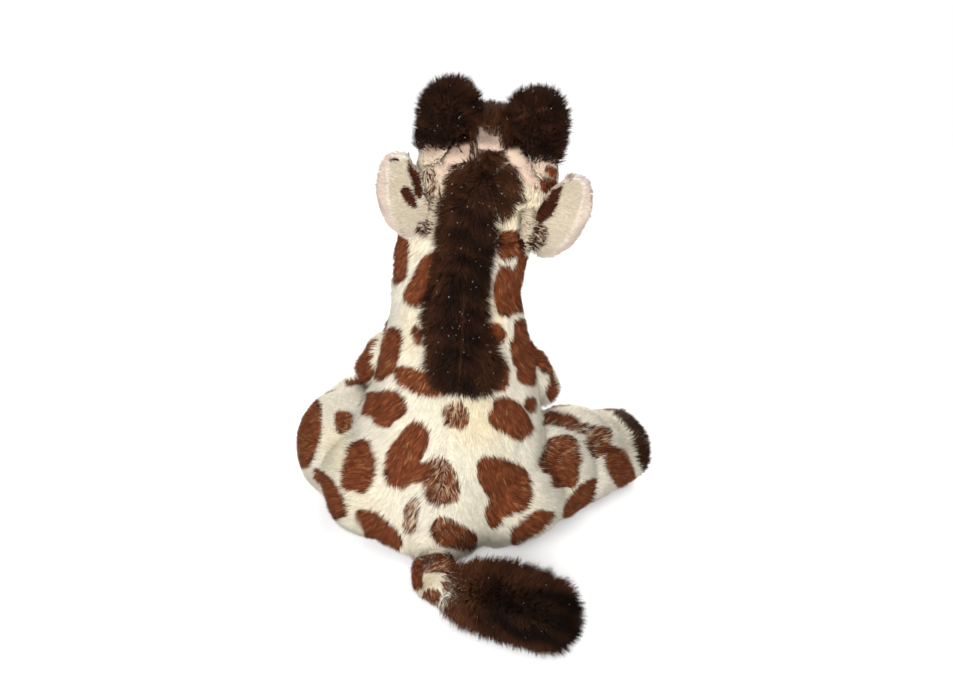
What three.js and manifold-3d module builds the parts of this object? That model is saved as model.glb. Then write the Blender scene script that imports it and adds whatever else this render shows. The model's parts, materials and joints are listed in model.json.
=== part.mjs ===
// A seated plush giraffe, in millimetres, +Z up, facing -Y.
// The origin is the centre of the flat seat panel that it sits on.
// Each stuffed piece is a ring loft that swells and tapers. Limbs end in a ball that is
// sewn into a hollow of the same centre, so a limb turns there without touching.

import * as THREE from 'three';
import { mergeVertices } from 'three/addons/utils/BufferGeometryUtils.js';
import Module from 'manifold-3d';

const wasm = await Module();
wasm.setup();

// General sizes
const seam_gap = 0.3;            // clearance between two sewn pieces
const pressed_flat = 0.5;        // how far a form that stands on the floor is pressed flat
const overrun = 400;             // reach of a cutting block past what it cuts
const weld_distance = 1e-4;      // corners closer than this are one corner

// Trunk: one pear that holds the body and the neck, narrowest below the head
const hip_height = 22;
const hip_half_width = 40;
const hip_half_depth = 38;
const shoulder_height = 64;
const shoulder_half_width = 32;
const shoulder_half_depth = 27.5;
const shoulder_forward = 1;
const collar_height = 92;
const collar_half_width = 26.5;
const collar_half_depth = 22;
const collar_forward = 4;
const neck_height = 108;
const neck_half_width = 24.5;
const neck_half_depth = 21;
const neck_forward = 7;
const nape_drop = 25;            // below the head's centre line
const nape_half_width = 25.5;
const nape_half_depth = 21.5;
const nape_forward = 10;
const neck_bow = 4.5;            // the soft neck leans this far to the giraffe's left
const neck_seam_height = 80;     // where the neck panel is sewn to the body panel
const seat_round_share = 0.5;    // of the hip height: where the underside starts to round off
const seat_blunt = 3;            // how squarely the underside rounds off, where 2 is an ellipse
const seat_width_share = 0.97;
const collar_bow_share = 0.6;
const nape_bow_share = 0.75;

// Seat: a panel that closes the underside, and the bag of pellets that weighs it down
const seat_radius = 15.5;
const seat_thickness = 2;
const pellet_bag_radius = 15;
const pellet_bag_height = 24;
const pellet_bag_widest_share = 0.3;
const pellet_bag_shoulder_share = 0.6;
const pellet_bag_narrowing_share = 0.9;

// Head and muzzle
const head_height = 151;         // of its centre line
const head_back_forward = 6;     // first ring of the skull, forward of the seat's centre
const head_right = 2;            // the head's middle, to the giraffe's right of the seat's centre
const head_length = 32;          // from that ring to the brow
const head_half_width = 27;
const head_half_height = 23.5;
const head_back_round = 19;
const head_front_round = 12;
const brow_drop = 5;
const brow_width_share = 0.82;
const brow_height_share = 0.84;
const muzzle_ahead = 2;          // its first ring, ahead of the skull's last
const muzzle_drop = 6;           // below the head's centre line
const muzzle_length = 20;
const muzzle_slope = 6;
const muzzle_half_width = 18;
const muzzle_half_height = 15;
const muzzle_round = 10;
const muzzle_tip_share = 0.93;

// Eyes: a dome on a shank, locked by a washer inside the head
const eye_radius = 4.6;
const eye_dome_height = 3.4;
const eye_shank_radius = 1.8;
const eye_shank_length = 9;
const eye_washer_radius = 5.5;
const eye_washer_thickness = 1.2;
const eye_washer_depth = 5;      // from the back of the dome to the washer
const eye_inset = 7.5;           // the dome's back, in from the head's half width
const eye_ahead = 1;             // ahead of the skull's last ring
const eye_rise = 6;              // above the head's centre line
const eye_turn_degrees = 52;     // that the eye looks out from straight ahead

// Ossicones: two furry knobs that start behind the crown and lean forward over it
const ossicone_rise = 39;        // of the tips, above the head's centre line
const ossicone_out = 16.5;
const ossicone_forward = 14;
const ossicone_radius = 11.4;
const ossicone_foot_rise = 9;
const ossicone_foot_out = 17.5;
const ossicone_foot_forward = 3;
const ossicone_foot_radius = 10;

// Mane: a thick strip from the back of the head to the upper back
const mane_thickness = 6;
const mane_foot_height = 78;
const mane_foot_half_width = 14;
const mane_corner = 8;           // radius of its two lower corners
const mane_neck_half_width = 12;
const mane_nape_half_width = 9;
const mane_top_half_width = 5.5;
const mane_top_rise = 16;        // of its upper end, above the head's centre line
const mane_bow = 2;              // its middle leans this far to the giraffe's left
const mane_front = 1;            // its front edge, behind the seat's centre

// Ears: a spotted outer panel and a pale lining, cupped, pinched where they are sewn on
const ear_length = 23.5;
const ear_half_width = 17.5;
const ear_root_half_width = 8.5;
const ear_panel_thickness = 1.8;
const ear_lining_thickness = 1.4;
const ear_cup = 7;
const ear_upturn = 11;           // that the tip is bent up from the root's middle line
const ear_root_radius = 2.6;
const ear_inset = 8;             // the root's middle, in from the nape's half width
const ear_back = 7;
const ear_drop = 9;              // below the head's centre line
const ear_rise_degrees = 8;      // above level
const ear_back_turn_degrees = 10; // that the tip is swept towards the back
const ear_lining_start_share = 0.16;
const ear_widest_share = 0.45;
const ear_turn_least_degrees = -5; // as far as the ear turns towards the face

// Forelegs: from the shoulder over the thigh, ending in a hoof
const foreleg_inset = 5;         // the ball's middle, in from the trunk's half width at the shoulder
const foreleg_ahead = 17;        // ahead of the trunk's middle there
const foreleg_ball_radius = 11;
const foreleg_seam_radius = 7.5; // where the limb leaves its ball
const foreleg_elbow_out = 6.5;   // places along the limb, from the ball's middle
const foreleg_elbow_forward = 11;
const foreleg_elbow_drop = 11;
const foreleg_elbow_radius = 9.4;
const foreleg_wrist_out = 0;
const foreleg_wrist_forward = 29;
const foreleg_wrist_drop = 15;
const foreleg_wrist_radius = 9.2;
const foreleg_hoof_out = -6;
const foreleg_hoof_forward = 42;
const foreleg_hoof_drop = 17;
const foreleg_hoof_radius = 10.2;
const foreleg_hoof_round = 8;
const foreleg_hoof_length = 9;   // from the middle of the hoof back to its seam
const foreleg_turn_most_degrees = 55; // that it is raised from where it rests

// Hind legs: a round haunch and a shank that lies on the floor, ending in a hoof
const haunch_inset = 1.5;        // the haunch's middle, in from the hip's half width
const haunch_forward = 14;
const haunch_radius = 23;
const thigh_reach = 18;          // distances along the leg from the haunch's middle
const thigh_radius = 21.5;
const shank_reach = 34;
const shank_radius = 17.5;
const hind_hoof_reach = 46;
const hind_hoof_half_width = 16.5;
const hind_hoof_half_height = 15.5;
const hind_hoof_round = 12;
const hind_hoof_length = 6;      // from the middle of the hoof back to its seam
const hind_leg_splay_left_degrees = -12; // out from straight ahead, as the toy was set down
const hind_leg_splay_right_degrees = 41;
const hind_leg_splay_least_degrees = -12; // the furthest in and the furthest out that either leg turns
const hind_leg_splay_most_degrees = 48;

// Tail: a short stuffed tube that lies on the floor and ends in a long-furred tuft
const tail_root_inset = 7;       // the ball's middle, in from the hip's half depth
const tail_ball_radius = 10;
const tail_root_radius = 6.8;    // where the tail leaves its ball
const tail_middle_back = 13;     // places along the tail, from the ball's middle
const tail_middle_right = 1;
const tail_middle_radius = 7.9;
const tail_radius = 8.5;
const tail_bend_back = 22;
const tail_bend_right = 2;
const tail_end_back = 31;
const tail_end_right = 13;
const tuft_end_back = 43;
const tuft_end_right = 45;
const tuft_radius = 12.5;
const tuft_neck_radius = 9;
const tuft_round = 11;
const tuft_tip_share = 0.94;
const tail_turn_most_degrees = 20; // to either side

// Facets
const trunk_sides = 24;
const limb_sides = 14;
const small_sides = 12;
const cap_rings = 3;
const ball_sides = 20;
const ball_rings = 8;
const rings_between = 2;         // steps from one station to the next
const ear_steps = 8;
const ear_lanes = 6;
const mane_foot_steps = 5;
const sweep_step_degrees = 12;   // between the places that a turning limb is cleared for

// Colours and finishes
const cream = { color: 0xe9e2c8, roughness: 0.95, metalness: 0 };
const spotted = { color: 0xcdb48f, roughness: 0.95, metalness: 0 };
const blush = { color: 0xdcc3b2, roughness: 0.95, metalness: 0 };
const dark_fur = { color: 0x2e1a12, roughness: 0.9, metalness: 0 };
const lining_cloth = { color: 0xe8d4ca, roughness: 0.9, metalness: 0 };
const eye_plastic = { color: 0x140d0a, roughness: 0.12, metalness: 0 };
const washer_plastic = { color: 0xe8e8e4, roughness: 0.5, metalness: 0 };
const calico = { color: 0xd9cfba, roughness: 1, metalness: 0 };

const point = (x, y, z) => new THREE.Vector3(x, y, z);
const UP = point(0, 0, 1);
const BACK = point(0, 1, 0);
const LEFT = point(1, 0, 0);

// Solids

function solidFrom(vertices, triangles) {
  const flat = new Float32Array(vertices.flatMap((vertex) => vertex.toArray()));
  const mesh = new wasm.Mesh({ numProp: 3, vertProperties: flat, triVerts: new Uint32Array(triangles) });
  return new wasm.Manifold(mesh);
}

function solidOf(geometry) {
  geometry.deleteAttribute('normal');
  geometry.deleteAttribute('uv');
  const merged = mergeVertices(geometry, weld_distance);
  const places = merged.getAttribute('position');
  const vertices = Array.from({ length: places.count }, (_, i) => point().fromBufferAttribute(places, i));
  return solidFrom(vertices, merged.index.array);
}

function geometryOf(solid) {
  const mesh = solid.getMesh();
  const geometry = new THREE.BufferGeometry();
  geometry.setAttribute('position', new THREE.BufferAttribute(new Float32Array(mesh.vertProperties), 3));
  geometry.setIndex(new THREE.BufferAttribute(new Uint32Array(mesh.triVerts), 1));
  geometry.computeVertexNormals();
  return geometry;
}

// A ball whose poles lie on the axis that it turns about.
function ball(centre, radius, axis) {
  const geometry = new THREE.SphereGeometry(radius, ball_sides, ball_rings);
  geometry.applyQuaternion(new THREE.Quaternion().setFromUnitVectors(BACK, axis));
  return solidOf(geometry.translate(centre.x, centre.y, centre.z));
}

// A round bar along an axis, from one distance to another from a point on it.
function bar(origin, direction, from, to, radius, sides = small_sides) {
  const geometry = new THREE.CylinderGeometry(radius, radius, to - from, sides);
  geometry.applyQuaternion(new THREE.Quaternion().setFromUnitVectors(BACK, direction));
  const middle = origin.clone().addScaledVector(direction, (from + to) / 2);
  return solidOf(geometry.translate(middle.x, middle.y, middle.z));
}

// Everything on the far side of a plane, as a block.
function beyond(origin, direction) {
  const geometry = new THREE.BoxGeometry(overrun, overrun, overrun);
  geometry.applyQuaternion(new THREE.Quaternion().setFromUnitVectors(UP, direction));
  const middle = origin.clone().addScaledVector(direction, overrun / 2);
  return solidOf(geometry.translate(middle.x, middle.y, middle.z));
}

const floor = beyond(point(0, 0, 0), point(0, 0, -1));

// A stuffed form: rings along a smooth line through its stations, closed by a rounded cap at each end.
// A station has a place, a half width and a half depth. A blunt cap is flatter than a round one.
function stuffed(form, grow = 0) {
  const { stations, start_round, end_round, sides, start_blunt = 2, end_blunt = 2 } = form;
  const across = form.across ?? UP;
  const line = new THREE.CatmullRomCurve3(stations.map((station) => station.at), false, 'centripetal');
  const sizes = new THREE.CatmullRomCurve3(
    stations.map((station) => point(station.half_width, station.half_depth, 0)), false, 'chordal');
  const count = (stations.length - 1) * rings_between;
  const vertices = [];
  const addRing = (centre, tangent, half_width, half_depth) => {
    const wide = across.clone().cross(tangent).normalize();
    const deep = tangent.clone().cross(wide).normalize();
    for (let i = 0; i < sides; i++) {
      const angle = (2 * Math.PI * i) / sides;
      vertices.push(centre.clone()
        .addScaledVector(wide, Math.cos(angle) * half_width)
        .addScaledVector(deep, Math.sin(angle) * half_depth));
    }
  };
  const capRing = (end, sign, length, blunt, angle) => {
    const tangent = line.getTangent(end);
    const size = sizes.getPoint(end);
    const reach = (length + grow) * Math.pow(Math.sin(angle), 2 / blunt);
    const share = Math.pow(Math.cos(angle), 2 / blunt);
    const centre = line.getPoint(end).addScaledVector(tangent, sign * reach);
    addRing(centre, tangent, (size.x + grow) * share, (size.y + grow) * share);
  };
  const quarter = Math.PI / 2;
  vertices.push(line.getPoint(0).addScaledVector(line.getTangent(0), -(start_round + grow)));
  for (let i = cap_rings; i >= 1; i--) {
    capRing(0, -1, start_round, start_blunt, (quarter * i) / (cap_rings + 1));
  }
  for (let i = 0; i <= count; i++) {
    const size = sizes.getPoint(i / count);
    addRing(line.getPoint(i / count), line.getTangent(i / count), size.x + grow, size.y + grow);
  }
  for (let i = 1; i <= cap_rings; i++) {
    capRing(1, 1, end_round, end_blunt, (quarter * i) / (cap_rings + 1));
  }
  vertices.push(line.getPoint(1).addScaledVector(line.getTangent(1), end_round + grow));
  return solidFrom(vertices, ringTriangles(count + 1 + 2 * cap_rings, sides));
}

// The same form, turned about an axis through a centre.
function turned(form, centre, axis, degrees) {
  const angle = THREE.MathUtils.degToRad(degrees);
  const turn = (place) => place.clone().sub(centre).applyAxisAngle(axis, angle).add(centre);
  const stations = form.stations.map((station) => ({ ...station, at: turn(station.at) }));
  return { ...form, stations, across: (form.across ?? UP).clone().applyAxisAngle(axis, angle) };
}

// The room that a limb needs in what carries it: its ball, and the limb itself over its range.
function hollowFor(form, centre, radius, axis, from, to) {
  const steps = Math.ceil((to - from) / sweep_step_degrees);
  const flats_clear = (radius + seam_gap) / Math.cos(Math.PI / ball_sides);
  let hollow = ball(centre, flats_clear, axis);
  for (let i = 0; i <= steps; i++) {
    const degrees = from + ((to - from) * i) / steps;
    hollow = hollow.add(stuffed(turned(form, centre, axis, degrees), seam_gap));
  }
  return hollow;
}

// Triangles of stacked rings between a first and a last point.
function ringTriangles(rings, sides) {
  const triangles = [];
  const last = 1 + rings * sides;
  for (let i = 0; i < sides; i++) {
    const next = (i + 1) % sides;
    triangles.push(0, 1 + next, 1 + i);
    for (let ring = 0; ring < rings - 1; ring++) {
      const low = 1 + ring * sides;
      const high = low + sides;
      triangles.push(low + i, low + next, high + i, low + next, high + next, high + i);
    }
    const top = 1 + (rings - 1) * sides;
    triangles.push(top + i, top + next, last);
  }
  return triangles;
}

// Keeps the nearer or the farther part of a form at a seam, half a gap back from it.
function nearOf(solid, origin, direction) {
  const cut = origin.clone().addScaledVector(direction, -seam_gap / 2);
  return solid.subtract(beyond(cut, direction));
}

function farOf(solid, origin, direction) {
  const cut = origin.clone().addScaledVector(direction, seam_gap / 2);
  return solid.intersect(beyond(cut, direction));
}

const sided = (side, name) => `${name}_${side > 0 ? 'left' : 'right'}`;
const SIDES = [1, -1];           // the giraffe's left is +X

// Trunk

const trunk = {
  stations: [
    { at: point(0, 0, hip_height * seat_round_share),
      half_width: hip_half_width * seat_width_share, half_depth: hip_half_depth * seat_width_share },
    { at: point(0, 0, hip_height), half_width: hip_half_width, half_depth: hip_half_depth },
    { at: point(0, -shoulder_forward, shoulder_height),
      half_width: shoulder_half_width, half_depth: shoulder_half_depth },
    { at: point(neck_bow * collar_bow_share, -collar_forward, collar_height),
      half_width: collar_half_width, half_depth: collar_half_depth },
    { at: point(neck_bow, -neck_forward, neck_height),
      half_width: neck_half_width, half_depth: neck_half_depth },
    { at: point(neck_bow * nape_bow_share, -nape_forward, head_height - nape_drop),
      half_width: nape_half_width, half_depth: nape_half_depth },
  ],
  start_round: hip_height * seat_round_share + pressed_flat,
  end_round: head_half_height / 2,
  start_blunt: seat_blunt,
  sides: trunk_sides,
  across: BACK,
};

// Head and muzzle

const browForward = head_back_forward + head_length;
const headPoint = (x, y, z) => point(x - head_right, y, z);

const skull = {
  stations: [
    { at: headPoint(0, -head_back_forward, head_height),
      half_width: head_half_width, half_depth: head_half_height },
    { at: headPoint(0, -head_back_forward - head_length / 2, head_height),
      half_width: head_half_width, half_depth: head_half_height },
    { at: headPoint(0, -browForward, head_height - brow_drop),
      half_width: head_half_width * brow_width_share, half_depth: head_half_height * brow_height_share },
  ],
  start_round: head_back_round,
  end_round: head_front_round,
  sides: trunk_sides,
};

const snout = {
  stations: [
    { at: headPoint(0, -browForward - muzzle_ahead, head_height - muzzle_drop),
      half_width: muzzle_half_width, half_depth: muzzle_half_height },
    { at: headPoint(0, -browForward - muzzle_ahead - muzzle_length,
      head_height - muzzle_drop - muzzle_slope),
      half_width: muzzle_half_width * muzzle_tip_share, half_depth: muzzle_half_height * muzzle_tip_share },
  ],
  start_round: muzzle_round,
  end_round: muzzle_round,
  sides: trunk_sides,
};

// Limbs. Each is made for one side: side is 1 on the giraffe's left and -1 on its right.

const haunchCentre = (side) =>
  point(side * (hip_half_width - haunch_inset), -haunch_forward, haunch_radius - pressed_flat);

const ownSplay = (side) => (side > 0 ? hind_leg_splay_left_degrees : hind_leg_splay_right_degrees);

function hindLegForm(side) {
  const splay = THREE.MathUtils.degToRad(ownSplay(side));
  const ahead = point(side * Math.sin(splay), -Math.cos(splay), 0);
  const along = (distance, half_height) => haunchCentre(side).setZ(half_height - pressed_flat)
    .addScaledVector(ahead, distance);
  const stations = [
    { at: along(thigh_reach, thigh_radius), half_width: thigh_radius, half_depth: thigh_radius },
    { at: along(shank_reach, shank_radius), half_width: shank_radius, half_depth: shank_radius },
    { at: along(hind_hoof_reach, hind_hoof_half_height), half_width: hind_hoof_half_width,
      half_depth: hind_hoof_half_height },
  ];
  const seam = along(hind_hoof_reach - hind_hoof_length, hind_hoof_half_height);
  return { stations, start_round: thigh_radius, end_round: hind_hoof_round, sides: limb_sides,
    ahead, seam };
}

function hindLeg(side) {
  const form = hindLegForm(side);
  const shank = stuffed(form).subtract(floor);
  const haunch = ball(haunchCentre(side), haunch_radius, UP).subtract(floor);
  return {
    leg: nearOf(shank, form.seam, form.ahead).add(haunch),
    hoof: farOf(shank, form.seam, form.ahead),
  };
}

function hindLegHollow(side) {
  const least = hind_leg_splay_least_degrees - ownSplay(side);
  const most = hind_leg_splay_most_degrees - ownSplay(side);
  const outward = UP.clone().multiplyScalar(side);
  return hollowFor(hindLegForm(side), haunchCentre(side), haunch_radius, outward, least, most);
}

const shoulderCentre = (side) =>
  point(side * (shoulder_half_width - foreleg_inset), -shoulder_forward - foreleg_ahead, shoulder_height);

function forelegForm(side) {
  const station = (out, forward, drop, radius) => ({
    at: shoulderCentre(side).add(point(side * out, -forward, -drop)), half_width: radius, half_depth: radius,
  });
  const stations = [
    station(0, 0, 0, foreleg_seam_radius),
    station(foreleg_elbow_out, foreleg_elbow_forward, foreleg_elbow_drop, foreleg_elbow_radius),
    station(foreleg_wrist_out, foreleg_wrist_forward, foreleg_wrist_drop, foreleg_wrist_radius),
    station(foreleg_hoof_out, foreleg_hoof_forward, foreleg_hoof_drop, foreleg_hoof_radius),
  ];
  const ahead = stations[3].at.clone().sub(stations[2].at).normalize();
  const seam = stations[3].at.clone().addScaledVector(ahead, -foreleg_hoof_length);
  return { stations, start_round: seam_gap, end_round: foreleg_hoof_round, sides: limb_sides, ahead, seam };
}

function foreleg(side) {
  const form = forelegForm(side);
  const limb = stuffed(form);
  return {
    leg: nearOf(limb, form.seam, form.ahead).add(ball(shoulderCentre(side), foreleg_ball_radius, LEFT)),
    hoof: farOf(limb, form.seam, form.ahead),
  };
}

function forelegHollow(side) {
  const raised = LEFT.clone().negate();
  return hollowFor(forelegForm(side), shoulderCentre(side), foreleg_ball_radius, raised,
    0, foreleg_turn_most_degrees);
}

// Tail

const tailPlace = (right, back, height) =>
  point(-right, hip_half_depth - tail_root_inset + back, height - pressed_flat);

const tailRoot = tailPlace(0, 0, tail_ball_radius);

const tailStation = (right, back, radius, width_share = 1) =>
  ({ at: tailPlace(right, back, radius), half_width: radius * width_share, half_depth: radius });

const tailForm = {
  stations: [
    tailStation(0, 0, tail_root_radius),
    tailStation(tail_middle_right, tail_middle_back, tail_middle_radius),
    tailStation(tail_bend_right, tail_bend_back, tail_radius),
    tailStation(tail_end_right, tail_end_back, tuft_neck_radius),
    tailStation((tail_end_right + tuft_end_right) / 2, (tail_end_back + tuft_end_back) / 2, tuft_radius),
    tailStation(tuft_end_right, tuft_end_back, tuft_radius, tuft_tip_share),
  ],
  start_round: seam_gap,
  end_round: tuft_round,
  sides: limb_sides,
};

function tailPieces() {
  const whole = stuffed(tailForm).subtract(floor);
  const seam = tailPlace(tail_end_right, tail_end_back, 0);
  const along = point(tail_end_right - tuft_end_right, tuft_end_back - tail_end_back, 0).normalize();
  return {
    tail: nearOf(whole, seam, along)
      .add(ball(tailRoot, tail_ball_radius, UP).subtract(floor)),
    tuft: farOf(whole, seam, along),
    hollow: hollowFor(tailForm, tailRoot, tail_ball_radius, UP,
      -tail_turn_most_degrees, tail_turn_most_degrees),
  };
}

// Ossicones

function ossiconeForm(side) {
  const station = (out, forward, height, radius) => ({
    at: headPoint(side * out, -forward, height), half_width: radius, half_depth: radius,
  });
  return {
    stations: [
      station(ossicone_foot_out, ossicone_foot_forward, head_height + ossicone_foot_rise,
        ossicone_foot_radius),
      station(ossicone_out, ossicone_forward, head_height + ossicone_rise - ossicone_radius,
        ossicone_radius),
    ],
    start_round: ossicone_foot_radius / 2,
    end_round: ossicone_radius,
    sides: limb_sides,
    across: BACK,
  };
}

// Ears

function earFrame(side) {
  const rise = THREE.MathUtils.degToRad(ear_rise_degrees);
  const sweep = THREE.MathUtils.degToRad(ear_back_turn_degrees);
  const along = point(side * Math.cos(rise) * Math.cos(sweep), Math.cos(rise) * Math.sin(sweep),
    Math.sin(rise));
  const front = point(0, -1, 0).addScaledVector(along, along.y).normalize();
  const wide = front.clone().cross(along).normalize();
  const root = headPoint(side * (nape_half_width - ear_inset), ear_back, head_height - ear_drop);
  return { root, along, front, wide };
}

// The ear's half width along its length, as a share of the widest: an arc from the root, then a round tip.
function earOutline(share) {
  const root_share = ear_root_half_width / ear_half_width;
  const root_reach = ear_widest_share / Math.sqrt(1 - root_share * root_share);
  const reach = share < ear_widest_share ? root_reach : 1 - ear_widest_share;
  const away = Math.min(Math.abs(share - ear_widest_share) / reach, 1);
  return Math.sqrt(1 - away * away);
}

// A leaf-shaped panel between two distances in front of the ear's back face.
function earPanel(side, from, to, start_share) {
  const { root, along, front, wide } = earFrame(side);
  const vertices = [];
  const place = (row, lane, distance) => {
    const share = start_share + (1 - start_share) * (1 - Math.cos((Math.PI * row) / ear_steps)) / 2;
    const half = Math.max(ear_half_width * earOutline(share), ear_panel_thickness);
    const offset = -1 + (2 * lane) / ear_lanes;
    const cupped = ear_cup * offset * offset * (half / ear_half_width);
    return root.clone()
      .addScaledVector(along, ear_length * share)
      .addScaledVector(wide, half * offset + side * ear_upturn * share * share)
      .addScaledVector(front, distance + cupped);
  };
  for (const distance of [from, to]) {
    for (let row = 0; row <= ear_steps; row++) {
      for (let lane = 0; lane <= ear_lanes; lane++) vertices.push(place(row, lane, distance));
    }
  }
  const index = (layer, row, lane) => (layer * (ear_steps + 1) + row) * (ear_lanes + 1) + lane;
  const triangles = [];
  const quad = (a, b, c, d) => triangles.push(a, b, c, a, c, d);
  for (let row = 0; row < ear_steps; row++) {
    for (let lane = 0; lane < ear_lanes; lane++) {
      quad(index(0, row, lane), index(0, row, lane + 1), index(0, row + 1, lane + 1),
        index(0, row + 1, lane));
      quad(index(1, row, lane), index(1, row + 1, lane), index(1, row + 1, lane + 1),
        index(1, row, lane + 1));
    }
    quad(index(0, row, 0), index(0, row + 1, 0), index(1, row + 1, 0), index(1, row, 0));
    quad(index(0, row, ear_lanes), index(1, row, ear_lanes), index(1, row + 1, ear_lanes),
      index(0, row + 1, ear_lanes));
  }
  for (let lane = 0; lane < ear_lanes; lane++) {
    quad(index(0, 0, lane), index(1, 0, lane), index(1, 0, lane + 1), index(0, 0, lane + 1));
    quad(index(0, ear_steps, lane), index(0, ear_steps, lane + 1), index(1, ear_steps, lane + 1),
      index(1, ear_steps, lane));
  }
  return solidFrom(vertices, triangles);
}

function ear(side) {
  const { root, wide } = earFrame(side);
  const roll = bar(root, wide, -ear_root_half_width, ear_root_half_width, ear_root_radius);
  const lining_back = ear_panel_thickness + seam_gap;
  let outer = earPanel(side, 0, ear_panel_thickness, 0);
  let lining = earPanel(side, lining_back, lining_back + ear_lining_thickness, ear_lining_start_share);
  for (const degrees of [0, ear_turn_least_degrees]) {
    for (const form of [skull, trunk, ossiconeForm(side)]) {
      const larger = stuffed(turned(form, root, wide, -degrees), seam_gap);
      outer = outer.subtract(larger);
      lining = lining.subtract(larger);
    }
  }
  return {
    outer: outer.add(roll),
    lining,
    groove: bar(root, wide, -ear_root_half_width - seam_gap, ear_root_half_width + seam_gap,
      ear_root_radius + seam_gap),
  };
}

// Eyes

function eyeFrame(side) {
  const turn = THREE.MathUtils.degToRad(eye_turn_degrees);
  return {
    origin: headPoint(side * (head_half_width - eye_inset), -browForward - eye_ahead,
      head_height + eye_rise),
    out: point(side * Math.sin(turn), -Math.cos(turn), 0),
  };
}

function eye(side) {
  const { origin, out } = eyeFrame(side);
  const dome = new THREE.SphereGeometry(eye_radius, limb_sides, ball_rings);
  dome.scale(1, eye_dome_height / eye_radius, 1);
  dome.applyQuaternion(new THREE.Quaternion().setFromUnitVectors(BACK, out));
  const lens = solidOf(dome.translate(origin.x, origin.y, origin.z)).intersect(beyond(origin, out));
  const washer_far = eye_washer_depth + eye_washer_thickness;
  return {
    dome: lens.add(bar(origin, out, -eye_shank_length, eye_dome_height / 2, eye_shank_radius)),
    washer: bar(origin, out, -washer_far, -eye_washer_depth, eye_washer_radius)
      .subtract(bar(origin, out, -eye_shank_length, 0, eye_shank_radius + seam_gap)),
    hollow: bar(origin, out, -seam_gap, overrun, eye_radius + seam_gap)
      .add(bar(origin, out, -eye_shank_length - seam_gap, 0, eye_shank_radius + seam_gap))
      .add(bar(origin, out, -washer_far - seam_gap, -eye_washer_depth + seam_gap,
        eye_washer_radius + seam_gap)),
  };
}

// Assembly

const giraffe = new THREE.Group();

function addPiece(name, solid, finish) {
  const mesh = new THREE.Mesh(geometryOf(solid), new THREE.MeshStandardMaterial(finish));
  mesh.name = name;
  giraffe.add(mesh);
}

const ears = new Map(SIDES.map((side) => [side, ear(side)]));
const eyes = new Map(SIDES.map((side) => [side, eye(side)]));
const tailParts = tailPieces();

// Body: hollows for the limbs' roots, and a pocket for the pellets with the seat panel under it
const pocket_floor = seat_thickness + seam_gap;
const bagForm = {
  stations: [
    { at: point(0, 0, pocket_floor + pellet_bag_height * pellet_bag_widest_share),
      half_width: pellet_bag_radius, half_depth: pellet_bag_radius },
    { at: point(0, 0, pocket_floor + pellet_bag_height * pellet_bag_shoulder_share),
      half_width: pellet_bag_radius * pellet_bag_narrowing_share,
      half_depth: pellet_bag_radius * pellet_bag_narrowing_share },
  ],
  start_round: pellet_bag_height * pellet_bag_widest_share,
  end_round: pellet_bag_height * (1 - pellet_bag_shoulder_share),
  sides: limb_sides,
  across: BACK,
  start_blunt: seat_blunt,
};
const seatMiddle = point(0, 0, 0);
let body = nearOf(stuffed(trunk).subtract(floor), point(0, 0, neck_seam_height), UP)
  .subtract(stuffed(bagForm, seam_gap))
  .subtract(bar(seatMiddle, UP, -overrun, pocket_floor, seat_radius + seam_gap, trunk_sides))
  .subtract(tailParts.hollow);
for (const side of SIDES) body = body.subtract(hindLegHollow(side)).subtract(forelegHollow(side));
addPiece('body', body, spotted);
addPiece('seat_panel', bar(seatMiddle, UP, 0, seat_thickness, seat_radius, trunk_sides), cream);
addPiece('pellet_bag', stuffed(bagForm), calico);

// Neck: from the body's seam up into the head
let neck = farOf(stuffed(trunk), point(0, 0, neck_seam_height), UP).subtract(stuffed(skull, seam_gap));
for (const side of SIDES) neck = neck.subtract(ears.get(side).groove);
addPiece('neck', neck, spotted);

// Head: hollows for the eyes, washers and ear roots
let head = stuffed(skull);
for (const side of SIDES) head = head.subtract(eyes.get(side).hollow).subtract(ears.get(side).groove);
addPiece('head', head, blush);
addPiece('muzzle', stuffed(snout).subtract(stuffed(skull, seam_gap)), cream);

for (const side of SIDES) {
  addPiece(sided(side, 'eye'), eyes.get(side).dome, eye_plastic);
  addPiece(sided(side, 'eye_washer'), eyes.get(side).washer, washer_plastic);
  addPiece(sided(side, 'ear_outer'), ears.get(side).outer, spotted);
  addPiece(sided(side, 'ear_lining'), ears.get(side).lining, lining_cloth);
  addPiece(sided(side, 'ossicone'), stuffed(ossiconeForm(side)).subtract(stuffed(skull, seam_gap)),
    dark_fur);
}

// Mane: the shell between the trunk and head and the same forms grown by its thickness
function maneStrip() {
  const foot = mane_foot_height;
  const corner = mane_foot_half_width - mane_corner;
  const top = head_height + mane_top_rise - mane_top_half_width;
  const rows = [[neck_height, mane_neck_half_width], [head_height, mane_nape_half_width]];
  const outline = new THREE.Shape();
  outline.moveTo(-corner, foot);
  outline.lineTo(corner, foot);
  outline.absarc(corner, foot + mane_corner, mane_corner, -Math.PI / 2, 0, false);
  for (const [height, half] of rows) outline.lineTo(mane_bow + half, height);
  outline.absarc(-head_right, top, mane_top_half_width, 0, Math.PI, false);
  for (const [height, half] of rows.reverse()) outline.lineTo(mane_bow - half, height);
  outline.absarc(-corner, foot + mane_corner, mane_corner, Math.PI, 1.5 * Math.PI, false);
  const geometry = new THREE.ExtrudeGeometry(outline, { depth: overrun, bevelEnabled: false,
    curveSegments: mane_foot_steps });
  geometry.rotateX(Math.PI / 2);
  geometry.translate(0, overrun + mane_front, 0);
  return solidOf(geometry);
}
const mane = maneStrip()
  .intersect(stuffed(trunk, mane_thickness).add(stuffed(skull, mane_thickness)))
  .subtract(stuffed(trunk, seam_gap))
  .subtract(stuffed(skull, seam_gap));
addPiece('mane', mane, dark_fur);

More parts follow.
